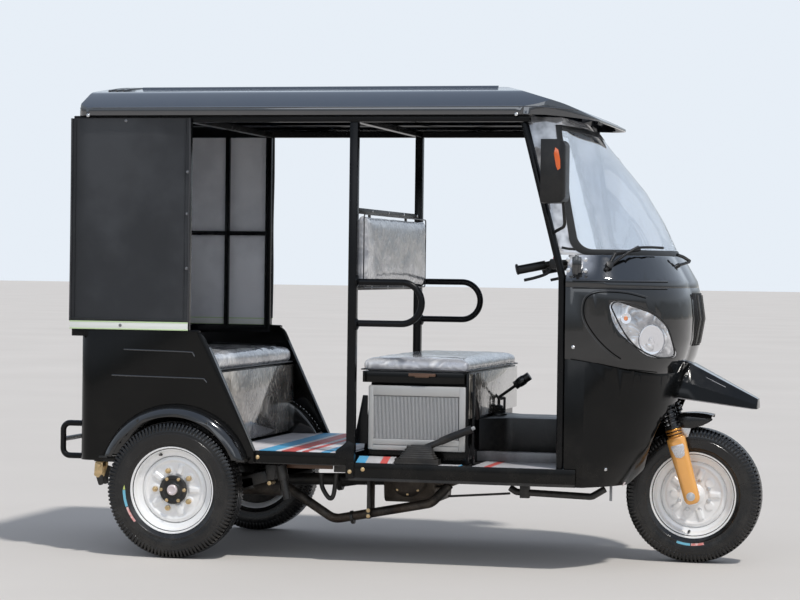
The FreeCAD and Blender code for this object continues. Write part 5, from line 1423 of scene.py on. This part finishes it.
# Seats: padded pieces with a film finish, and their piping

film_top = finish_of("film cover", (0.30, 0.31, 0.335), 0.16, 0.34, metallic=0.1, coat=0.9, relief=CRINKLED,
    relief_scale=13, strength=0.9, depth=0.012, dust=0.0, low_dust=0.0, specular=0.7)
# Painted highlights: the seat film is grey-blue in the hollows of its crinkles and white on the rises
paint_light_by_relief(film_top, (0.44, 0.455, 0.50), (1.0, 1.0, 1.0))
latch_brown = finish_of("latch", (0.11, 0.055, 0.03), 0.35, 0.5, dust=0.02)


PILLOW_INSET = 2.0
PILLOW_STEP = 16


def pillow(low, high, corner, crown):
    """Crowned closed form in a box: sides pull in between the corners, top and bottom swell."""
    spans = [h - l - 2 * PILLOW_INSET for l, h in zip(low, high)]
    counts = [max(4, round(s / PILLOW_STEP)) for s in spans]
    points = []
    faces = []
    number = {}
    middle = [(l + h) / 2 for l, h in zip(low, high)]
    half = [s / 2 for s in spans]

    def vertex(i, j, k):
        key = (i, j, k)
        if key in number:
            return number[key]
        u, v, w = (2 * n / c - 1 for n, c in zip(key, counts))
        place = [u * half[0], v * half[1], w * half[2]]
        inner = [max(h - corner, 0.0) for h in half]
        nearest = [max(-n, min(n, p)) for n, p in zip(inner, place)]
        offset = Vector([p - q for p, q in zip(place, nearest)])
        if offset.length > 1e-6:
            scale = corner / offset.length if offset.length > corner else 1.0
            offset = offset * scale
        place = [q + o for q, o in zip(nearest, offset)]
        shape = [(1 - u ** 4), (1 - v ** 4), (1 - w ** 4)]
        thin = min(range(3), key=lambda axis: spans[axis])
        spread = [shape[axis] for axis in range(3) if axis != thin]
        swell = 1 if place[thin] > 0 else -0.35
        place[thin] += crown * swell * spread[0] * spread[1] * abs((u, v, w)[thin])
        number[key] = len(points)
        points.append(at(*(m + p for m, p in zip(middle, place))))
        return number[key]

    for axis in range(3):
        a, b = [n for n in range(3) if n != axis]
        for end in (0, counts[axis]):
            for i in range(counts[a]):
                for j in range(counts[b]):
                    ring = []
                    for da, db in ((0, 0), (1, 0), (1, 1), (0, 1)):
                        key = [0, 0, 0]
                        key[axis] = end
                        key[a] = i + da
                        key[b] = j + db
                        ring.append(vertex(*key))
                    faces.append(tuple(ring))
    return points, faces


CLOTH_FRAMES = 15
CLOTH_PRESSURE = 3.5
VOXEL = 0.010
CREASES = 1.8


def padded(name, node, low, high, corner, crown, cap, seed):
    """Cushion swelled by simulated cloth from its crowned form."""
    made = new_piece(name, pillow(low, high, corner, crown), [film_top])
    remesh = made.modifiers.new("voxels", "REMESH")
    remesh.mode = "VOXEL"
    remesh.voxel_size = VOXEL
    settle(made)
    rest = [v.co.copy() for v in made.data.vertices]
    cloth = made.modifiers.new("cloth", "CLOTH")
    cloth.settings.use_pressure = True
    cloth.settings.uniform_pressure_force = CLOTH_PRESSURE
    cloth.settings.effector_weights.gravity = 0.0
    cloth.settings.tension_stiffness = 25
    cloth.settings.bending_stiffness = 0.2
    cloth.settings.quality = 4
    cloth.point_cache.frame_start = 1
    cloth.point_cache.frame_end = CLOTH_FRAMES
    for step in range(1, CLOTH_FRAMES + 1):
        bpy.context.scene.frame_set(step)
    settle(made)
    bpy.context.scene.frame_set(1)
    for point, start in zip(made.data.vertices, rest):
        shift = point.co - start
        if shift.length > cap / 1000:
            point.co = start + shift * (cap / 1000 / shift.length)
    for point in made.data.vertices:
        spot = point.co * 14 + Vector((seed, seed, seed))
        lump = noise.noise(spot) + 0.5 * abs(noise.noise(point.co * 38 + Vector((0, seed, 0))))
        point.co += point.normal * (CREASES / 1000 * lump)
    subdivide(made)
    settle(made)
    smooth_faces(made)
    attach(made, "body")
    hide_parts(node)


def edge_piping(name, low, high, corner, level, radius=3.4, thin_axis=2):
    """Welt that runs round a cushion at one level of its thickness."""
    axes = [n for n in range(3) if n != thin_axis]
    a0, b0 = low[axes[0]], low[axes[1]]
    a1, b1 = high[axes[0]], high[axes[1]]
    rows = []
    for a, b in (((a0 + a1) / 2, b0), (a1, b0), (a1, b1), (a0, b1), (a0, b0), ((a0 + a1) / 2 - 1, b0)):
        station = [0, 0, 0]
        station[axes[0]] = a
        station[axes[1]] = b
        station[thin_axis] = level
        rows.append(tuple(station) + (corner,))
    rows[0] = rows[0][:3] + (0,)
    rows[-1] = rows[-1][:3] + (0,)
    make(name, "body", "seat_vinyl", [(sweep(rounded_path(rows, 6), circle(radius, 8)), seat_vinyl)])


padded("driver_seat", "driver_cushion", (714, -480, 733), (1142, 480, 776), 16, 8, 9, 2.0)
edge_piping("driver_seat_lower_piping", (715, -480, 0), (1141, 480, 0), 18, 739, 2.6)
padded("rear_seat", "rear_seat_cushion", (-368, -534, 718), (156, 534, 782), 18, 8, 9, 5.0)
edge_piping("rear_seat_piping", (-367, -533, 0), (155, 533, 0), 20, 724, 2.8)
padded("driver_back_pad", "driver_backrest", (701, -514, 1050), (733, 514, 1330), 12, 5, 7, 7.0)
edge_piping("driver_back_piping", (0, -514, 1050), (0, 514, 1330), 14, 731, 2.6, 0)
padded("rear_back_pad", "rear_backrest", (-368, -498, 792), (-304, 498, 1214), 20, 10, 10, 9.0)
edge_piping("rear_back_piping", (0, -497, 792), (0, 497, 1214), 22, -309, 3.0, 0)

# Film hanging over the seat boxes and latch below the driver's seat
latch = [block(905, 1010, -489, -480, 716, 728), block(930, 985, -492, -486, 712, 722)]
part("seat_latch", "steel_black", latch, latch_brown, 2.0)
film_sheet = finish_of("loose film", (0.24, 0.235, 0.225), 0.10, 0.26, metallic=0.2, coat=1.0,
    relief=CRINKLED, relief_scale=14, strength=0.8, depth=0.01, dust=0.0, low_dust=0.0)
# Painted highlights: the loose film is dark brown in the hollows of its crinkles and pale on the rises
paint_light_by_relief(film_sheet, (0.15, 0.135, 0.115), (0.86, 0.80, 0.71))
panel = [block(152.5, 154.0, -546, 546, 430, 712), block(1137.5, 1139, -470, 470, 560, 728)]
part("seat_box_film", "body_paint", panel, film_sheet, 0.4)

# Radiator, floors, controls, posts and underbody

fin_silver = finish_of("fin silver", (0.86, 0.865, 0.87), 0.30, 0.45, metallic=0.5, dust=0.0, low_dust=0.10)
core_dark = finish_of("core grey", (0.16, 0.16, 0.165), 0.45, 0.6, metallic=0.4, dust=0.0, low_dust=0.1)
tank_silver = finish_of("tank silver", (0.47, 0.47, 0.46), 0.34, 0.50, metallic=0.35, dust=0.02,
    low_dust=0.12, relief=CAST, relief_scale=300, strength=0.12)

frame_parts = [block(747, 767, -478, -442, 434, 678), block(1100, 1126, -478, -442, 434, 678),
    block(748, 1125, -477, -440, 640, 679), block(748, 1125, -477, -440, 452, 476)]
made = part("radiator_frame", "radiator_alloy", frame_parts, tank_silver, 4.0, 50, bevel_steps=3)
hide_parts("radiator")
bottom = side_prism([(760, 433, 3), (1112, 433, 3), (1124, 452, 3), (748, 452, 3)], -476, -438)
part("radiator_tank", "radiator_alloy", bottom, tank_silver, 2.5, 30)
make("radiator_core", "body", "radiator_alloy", [(block(766, 1101, -466, -446, 474, 642), core_dark)])
fin = side_prism([(768, 477, 0), (769.3, 477, 0), (769.3, 638, 0), (768, 638, 0)], -475.5, -465)
repeated("radiator_fins", fin, ROW_TREE, {"Count": 62, "Step": (0.00535, 0, 0)}, fin_silver, "body")
cooling_hose = hose([(1110, -450, 650), (1140, -430, 645), (1150, -400, 600), (1146, -360, 560)], 13)
part("radiator_hose", "steel_black", cooling_hose, soft_rubber)

side_plate = [side_prism([(689, 455, 3), (744, 455, 3), (744, 640, 3), (724, 640, 3)], -474, -470),
    block(1128, 1137, -476, -440, 384, 730), block(1150, 1158, -468, -452, 384, 728)]
part("radiator_side_plates", "frame_paint", side_plate, frame_black, 1.2)


def striped_mat(name, base, stripes, slope, period):
    """Printed mat: slanting coloured stripes on a worn grey ground."""
    made = finish_of(name, base, 0.45, 0.62, relief_scale=240, strength=0.08, dust=0.03, low_dust=0.22,
        second=tuple(v * 0.8 for v in base), second_scale=8)
    tree = made.node_tree
    place = place_axes(tree)
    slanted = maths(tree, "ADD", place[0], maths(tree, "MULTIPLY", place[1], slope))
    phase = maths(tree, "FRACT", maths(tree, "DIVIDE", maths(tree, "ADD", slanted, 10.0), period))
    colour = tree.nodes["dust"].inputs["Colour"].links[0].from_socket
    for low, high, tint in stripes:
        above = maths(tree, "GREATER_THAN", phase, low)
        below = maths(tree, "LESS_THAN", phase, high)
        colour = mixed(tree, maths(tree, "MULTIPLY", above, below), colour, opaque(tint))
    give(tree.nodes["dust"], {"Colour": colour})
    return made


mat_grey = finish_of("mat grey", (0.16, 0.16, 0.165), 0.30, 0.46, relief_scale=240, strength=0.1, dust=0.06,
    low_dust=0.25, second=(0.30, 0.30, 0.31), second_scale=10)
BLUE_PRINT = (0.08, 0.42, 0.72)
RED_PRINT = (0.62, 0.09, 0.08)
rear_print = striped_mat("rear mat print", (0.84, 0.83, 0.87), [(0.525, 0.60, BLUE_PRINT),
    (0.625, 0.69, RED_PRINT), (0.715, 0.745, RED_PRINT), (0.80, 0.84, BLUE_PRINT)], 0.03, 0.9)
front_print = striped_mat("front mat print", (0.55, 0.55, 0.57),
    [(0.6775, 0.7825, BLUE_PRINT), (0.925, 0.995, RED_PRINT)], 0.0, 0.4)
rear_mat = plan_prism([(170, -530, 14), (676, -530, 14), (676, 530, 14), (170, 530, 14)], 419.2, 422.2)
part("rear_mat", "floor_paint", rear_mat, rear_print, 1.0)
front_mats = []
for x0, x1, inner in ((740, 1118, 470), (1165, 1545, 246)):
    for s in (-1, 1):
        mat = [(x0, s * 535, 10), (x1, s * 535, 10), (x1, s * inner, 10), (x0, s * inner, 10)]
        front_mats.append(plan_prism(mat, 383.2, 386.0))
front_mats.append(front_prism([(-541, 386, 0), (-541, 388.5, 0), (-486, 409, 0), (-486, 406, 0)], 717, 862))
part("front_mats", "floor_paint", front_mats, front_print, 1.0)
sill_rows = [block(318, 680, s * 546 - 1.5, s * 546 + 1.5, 376, 421) for s in (-1, 1)]
sill_rows += [block(712, 1560, s * 546 - 1.5, s * 546 + 1.5, 330, 386) for s in (-1, 1)]
part("sill_faces", "frame_paint", sill_rows, body_black, 1.0)
sill_bolts = [boss(at(x, s * 547.5, z), (0, s, 0), BOLT_ROWS) for s in (-1, 1)
    for x, z in ((746, 362), (330, 396))]
part("sill_bolts", "steel_black", sill_bolts, brass)

# Handbrake bellows, grip and plate; gear linkage, knob and gaiter; ledges beside the tunnel
bellows = []
for k in range(6):
    for rise, grow in ((0, 0), (4, -3.4), (8, 3.5)):
        s = 5.5 * k + grow
        outline = rounded_rectangle(142 - 2 * s, 50 - 0.7 * s, 10, 4)
        bellows.append([at(954 + u, -513 + v, 407 + 8 * k + rise) for u, v in outline])
make("handbrake_bellows", "body", "plastic_black", [(loft(bellows), soft_rubber)], angle=60)
grip = hose([(1040, -513, 474), (1080, -513, 492), (1120, -513, 508), (1158, -513, 524)], 14.5, 16)
button = peg((1156, -513, 523), (1170, -513, 530), 7, 14)
make("handbrake_grip", "body", "plastic_black", [(grip, plastic_black), (button, piping_grey)])
plate = block(866, 1038, -541, -485, 386, 392)
part("handbrake_plate", "steel_black", plate, steel_black, 1.5)
brake_bolts = [boss(at(x, y, 392), (0, 0, 1), BOLT_ROWS) for x in (876, 1028) for y in (-532, -495)]
part("handbrake_bolts", "steel_black", brake_bolts, zinc)
links = [peg((1150, 40, 612), (1106, 40, 664), 5, 12), peg((1172, 44, 548), (1172, 44, 618), 5, 12),
    peg((1150, 40, 612), (1174, 44, 616), 6, 12)]
part("gear_links", "steel_black", links, steel_black)
knob = lathe([(-2, 9), (4, 14), (20, 19.5), (40, 20), (52, 16), (58, 8), (59, 0.4)], at(1216, 40, 667),
    (0.82, 0, 0.57), 28)
part("gear_knob", "plastic_black", knob, shiny_plastic)
ledge = [plan_prism([(1120, -262, 8), (1556, -262, 8), (1556, -228, 4), (1120, -228, 4)], 384, 424),
    plan_prism([(1120, 228, 8), (1556, 228, 8), (1556, 262, 8), (1120, 262, 8)], 384, 424)]
part("tunnel_ledges", "plastic_black", ledge, mat_grey, 6.0, 50)
gaiter = lathe([(0, 34), (6, 33), (10, 26), (16, 28), (20, 21), (26, 23), (30, 16), (36, 17), (40, 9),
    (42, 0.4)], at(1150, 40, 548), (0, 0, 1), 32)
part("gear_gaiter", "plastic_black", gaiter, soft_rubber)

# Backrest bolts, handrail flanges, post bolts and gussets, feet of the wheel arches
bolts = [boss(at(694, y, z), (1, 0, 0), BOLT_ROWS) for y in (-500, -260, 0, 260, 500) for z in (1050, 1346)]
part("backrest_bolts", "steel_black", bolts, zinc)
rails = [boss(at(712, s * 541, z), (1, 0, 0), [(0, 22), (4, 22), (6, 19), (8, 16), (9, 0.4)], 24)
    for s in (-1, 1) for z in (911, 1076)]
part("handrail_flanges", "frame_paint", rails, frame_black)
post_bolts = [boss(at(696, s * 552.5, 352), (0, s, 0), BOLT_ROWS) for s in (-1, 1)]
part("post_bolts", "steel_black", post_bolts, brass)
gusset = [side_prism([(640, 400, 4), (712, 400, 4), (712, 460, 4), (690, 470, 4), (640, 430, 4)],
    s * 552 - 2, s * 552 + 2) for s in (-1, 1)]
part("post_gussets", "frame_paint", gusset, frame_black, 1.0)

feet = [block(x - 17, x + 17, s * 574 - 28.5, s * 574 + 28.5, 378, 386) for x in (-277, 277) for s in (-1, 1)]
part("flare_feet", "seal_rubber", feet, chassis_black, 1.0)

# Underbody: springs, shackles, stays, dampers, exhaust hanger, hoses, guards, engine covers, shaft
under = []
shackles = []
for side in (-1, 1):
    y = side * 420
    for k in range(4):
        reach = 330 - 55 * k
        low = 252 - 9 * k
        leaf = [(-reach, y, low + 62 * (reach / 330) ** 2), (-reach / 2, y, low + 16), (0, y, low),
            (reach / 2, y, low + 16), (reach, y, low + 62 * (reach / 330) ** 2)]
        under.append(sweep(flowing_path(leaf, 6), rounded_rectangle(7, 44, 1.5, 2), up=(0, 0, 1)))
    for out in (-28, 28):
        shackles.append(side_prism([(-366, 352, 8), (-334, 352, 8), (-334, 306, 8), (-352, 286, 8),
            (-370, 296, 8)], y + out - 3, y + out + 3))
        under.append(side_prism([(-362, 292, 4), (-334, 300, 4), (-330, 262, 8), (-350, 256, 8)],
            y + out - 2.4, y + out + 2.4))
    shackles.append(peg((-348, y - 34, 336), (-348, y + 34, 336), 9, 12))
    under.append(block(-372, -248, y - 26, y + 26, 351, 371))
    shackles.append(peg((348, y - 30, 289), (348, y + 30, 289), 9, 12))
    under.append(side_prism([(330, 360, 6), (376, 360, 6), (366, 300, 8), (340, 300, 8)], y - 26, y + 26))
part("leaf_springs", "steel_black", under, steel_black, 0.8)
part("spring_shackles", "steel_black", shackles, brass, 0.8)
stays = [block(400, 600, s * 440 - 6, s * 440 + 6, 350, 371) for s in (-1, 1)]
part("floor_stays", "steel_black", stays, latch_brown, 1.0)
dampers = []
for y in (-470, 470):
    dampers += [peg((428, y, 232), (412, y, 310), 15, 20), peg((412, y, 306), (400, y, 362), 21, 20)]
part("dampers", "steel_black", dampers, steel_black)
clamp = [peg((628, -262, 149), (640, -262, 151), 26, 20), block(700, 712, -300, -270, 150, 330),
    block(700, 712, -300, -232, 164, 170)]
part("exhaust_hanger", "steel_black", clamp, steel_black, 1.0)
hang_bolts = [boss(at(706, -300, z), (0, -1, 0), BOLT_ROWS) for z in (160, 182)]
part("hanger_bolts", "steel_black", hang_bolts, brass)
vee = [hose([(514, -300, 320), (520, -300, 268), (548, -300, 226), (566, -300, 240), (576, -300, 320)], 9),
    hose([(1014, -250, 244), (1120, -300, 256), (1220, -380, 270), (1286, -400, 277)], 4.5)]
part("under_hoses", "seal_rubber", vee, soft_rubber)
guards = [tube([(1286, y, 300, 0), (1310, y, 284, 20), (1600, y, 275, 30), (1650, y, 306, 0)], 13)
    for y in (-400, 400)]
guards += [block(1326, 1362, y - 14, y + 14, 262, 336) for y in (-400, 400)]
part("guard_tubes", "frame_paint", guards, chassis_black, 1.5)
case = [block(760, 980, -150, 150, 262 + 16 * k, 268 + 16 * k) for k in range(6)]
case += [lathe([(0, 70), (14, 70), (20, 62), (24, 40), (24, 0.4)], at(840, -188, 300), (0, -1, 0), 40),
    lathe([(0, 46), (10, 46), (14, 40), (18, 0.4)], at(1010, -188, 330), (0, -1, 0), 32)]
case_bolts = [boss(at(840 + 58 * math.cos(k * math.pi / 4), -203, 300 + 58 * math.sin(k * math.pi / 4)),
    (0, -1, 0), BOLT_ROWS) for k in range(8)]
make("engine_covers", "body", "engine_alloy", [(case, engine_alloy), (case_bolts, brass)], 1.2)
prop = [peg((500, 0, 262), (730, 0, 300), 22, 24), peg((500, 0, 262), (520, 0, 265), 34, 24),
    lathe([(-60, 40), (-50, 78), (-20, 100), (20, 100), (50, 78), (60, 40)], at(0, 0, HUB_Z), (0, 1, 0), 40)]
part("drive_shaft", "steel_black", prop, steel_black)

# Nodes that keep their shape, by finish and width of the broken edges

NODE_ROWS = [
    (body_black, 0.8, "tub_rear_panel tub_sides"),
    (body_black, 1.2, "driver_seat_box rear_seat_box"),
    (body_black, 2.0, "leg_shield"),
    (chassis_black, 1.5, "chassis_frame"),
    (cowl_black, 0.8, "wheel_arches"),
    (cowl_black, 2.0, "front_cowl"),
    (engine_alloy, 2.5, "engine_block"),
    (exhaust_steel, 0.8, "exhaust"),
    (floor_grey, 1.0, "front_floor rear_floor"),
    (frame_black, 0.0, "handrails rear_bumper"),
    (frame_black, 0.8, "backrest_frame"),
    (frame_black, 1.5, "a_pillars rear_side_frames roof_frame"),
    (frame_black, 2.5, "mid_posts"),
    (plastic_black, 0.6, "grille wiper"),
    (plastic_black, 0.8, "gear_lever"),
    (plastic_black, 1.0, "handlebar"),
    (plastic_black, 1.2, "handbrake"),
    (plastic_black, 2.0, "mirrors"),
    (plastic_black, 3.0, "dashboard tunnel_cover"),
    (roof_black, 1.0, "roof_shell"),
    (screen_glass, 0.0, "windscreen"),
    (shiny_plastic, 0.8, "front_mudguard"),
    (soft_rubber, 1.0, "windscreen_seal"),
    (steel_black, 1.0, "rear_suspension"),
    (steel_black, 1.5, "rear_axle"),
    (window_film, 0.0, "rear_window"),
]
node_finishes = {node: row[:2] for row in NODE_ROWS for node in row[2].split()}
for node in sorted(node_finishes):
    refined(node, None, *node_finishes[node])

# Camera, light and floor

CAMERA_PLACE = (3081.966, -9556.369, 1116.787)
CAMERA_YAW = math.radians(13.717)
CAMERA_PITCH = math.radians(-0.686)
CAMERA_ROLL = math.radians(0.746)
CAMERA_FOCUS = 2459.921
FRAME_WIDTH = 800
SENSOR = 36.0


def build_camera():
    ahead = Vector((-math.sin(CAMERA_YAW) * math.cos(CAMERA_PITCH),
        math.cos(CAMERA_YAW) * math.cos(CAMERA_PITCH), math.sin(CAMERA_PITCH)))
    right = ahead.cross(Vector((0, 0, 1))).normalized()
    above = right.cross(ahead)
    rolled_right = right * math.cos(CAMERA_ROLL) + above * math.sin(CAMERA_ROLL)
    rolled_above = above * math.cos(CAMERA_ROLL) - right * math.sin(CAMERA_ROLL)
    lens = bpy.data.cameras.new("camera")
    lens.sensor_width = SENSOR
    lens.sensor_fit = "HORIZONTAL"
    lens.lens = CAMERA_FOCUS / FRAME_WIDTH * SENSOR
    lens.clip_end = 400.0
    camera = new_object("camera", lens)
    turn = Matrix((rolled_right, rolled_above, -ahead)).transposed().to_4x4()
    camera.matrix_world = Matrix.Translation(at(*CAMERA_PLACE)) @ turn
    bpy.context.scene.camera = camera


def aimed(name, kind, place, target, power, colour):
    """New light at a place, turned towards a target."""
    light = bpy.data.lights.new(name, kind)
    light.energy = power
    light.color = colour
    aim = (Vector(target) - Vector(place)).to_track_quat("-Z", "Y")
    new_object(name, light).matrix_world = Matrix.Translation(Vector(place)) @ aim.to_matrix().to_4x4()
    return light


def ramp_of(tree, factor, rows):
    ramp = add(tree, "ShaderNodeValToRGB", {"Fac": factor})
    stops = ramp.color_ramp.elements
    stops[0].position = rows[0][0]
    stops[0].color = rows[0][1]
    stops[1].position = rows[-1][0]
    stops[1].color = rows[-1][1]
    for position, colour in rows[1:-1]:
        stop = stops.new(position)
        stop.color = colour
    return ramp.outputs[0]


def build_world():
    """Even light all round, a graded sky in reflections, a pale one seen directly or through glass."""
    world = bpy.data.worlds.new("studio")
    bpy.context.scene.world = world
    world.use_nodes = True
    tree = world.node_tree
    sky = add(tree, "ShaderNodeTexCoord").outputs["Generated"]
    height = add(tree, "ShaderNodeSeparateXYZ", {0: sky}).outputs[2]
    shining = ramp_of(tree, height, [(0.0, (0.50, 0.49, 0.47, 1)), (0.02, (0.34, 0.36, 0.37, 1)),
        (0.07, (0.40, 0.44, 0.48, 1)), (0.16, (0.66, 0.74, 0.84, 1)), (1.0, (0.52, 0.64, 0.86, 1))])
    seen = add(tree, "ShaderNodeLightPath").outputs
    mirrored_light = mixed(tree, seen["Is Glossy Ray"], (0.36, 0.39, 0.45, 1), shining)
    direct = maths(tree, "MAXIMUM", seen["Is Camera Ray"], seen["Is Transmission Ray"])
    give(tree.nodes["Background"], {"Color": mixed(tree, direct, mirrored_light, (0.80, 0.86, 0.93, 1)),
        "Strength": 1.0})


def build_floor():
    size = 160.0
    mesh = bpy.data.meshes.new("floor")
    mesh.from_pydata([(-size, -size, 0), (size, -size, 0), (size, size, 0), (-size, size, 0)], [],
        [(0, 1, 2, 3)])
    concrete = new_material("pale concrete")
    mesh.materials.append(concrete)
    tree = concrete.node_tree
    place = object_place(tree)
    clouds = speckle(tree, place, 0.55, 7.0, 0.5)
    tone = mixed(tree, clouds, (0.63, 0.605, 0.575, 1), (0.73, 0.705, 0.675, 1))
    grit = speckle(tree, place, 240.0, 3.0, 0.5)
    relief = add(tree, "ShaderNodeBump", {"Strength": 0.12, "Distance": 0.002, "Height": grit})
    give(shader_of(concrete), {"Base Color": tone, "Normal": relief.outputs["Normal"], "Roughness": 0.8,
        "Specular IOR Level": 0.15})
    new_object("floor", mesh)


build_camera()
build_world()
build_floor()
sun = aimed("key", "SUN", (2.0, -1.7, 4.8), (0, 0, 0), 2.15, (1.0, 0.965, 0.92))
sun.angle = math.radians(4.0)
panel = aimed("side", "AREA", (1.0, -9.0, 4.2), (0.1, 0, 0.9), 80, (0.93, 0.96, 1.0))
panel.shape = "RECTANGLE"
panel.size = 9.0
panel.size_y = 2.2
bpy.context.scene.view_settings.view_transform = "Standard"
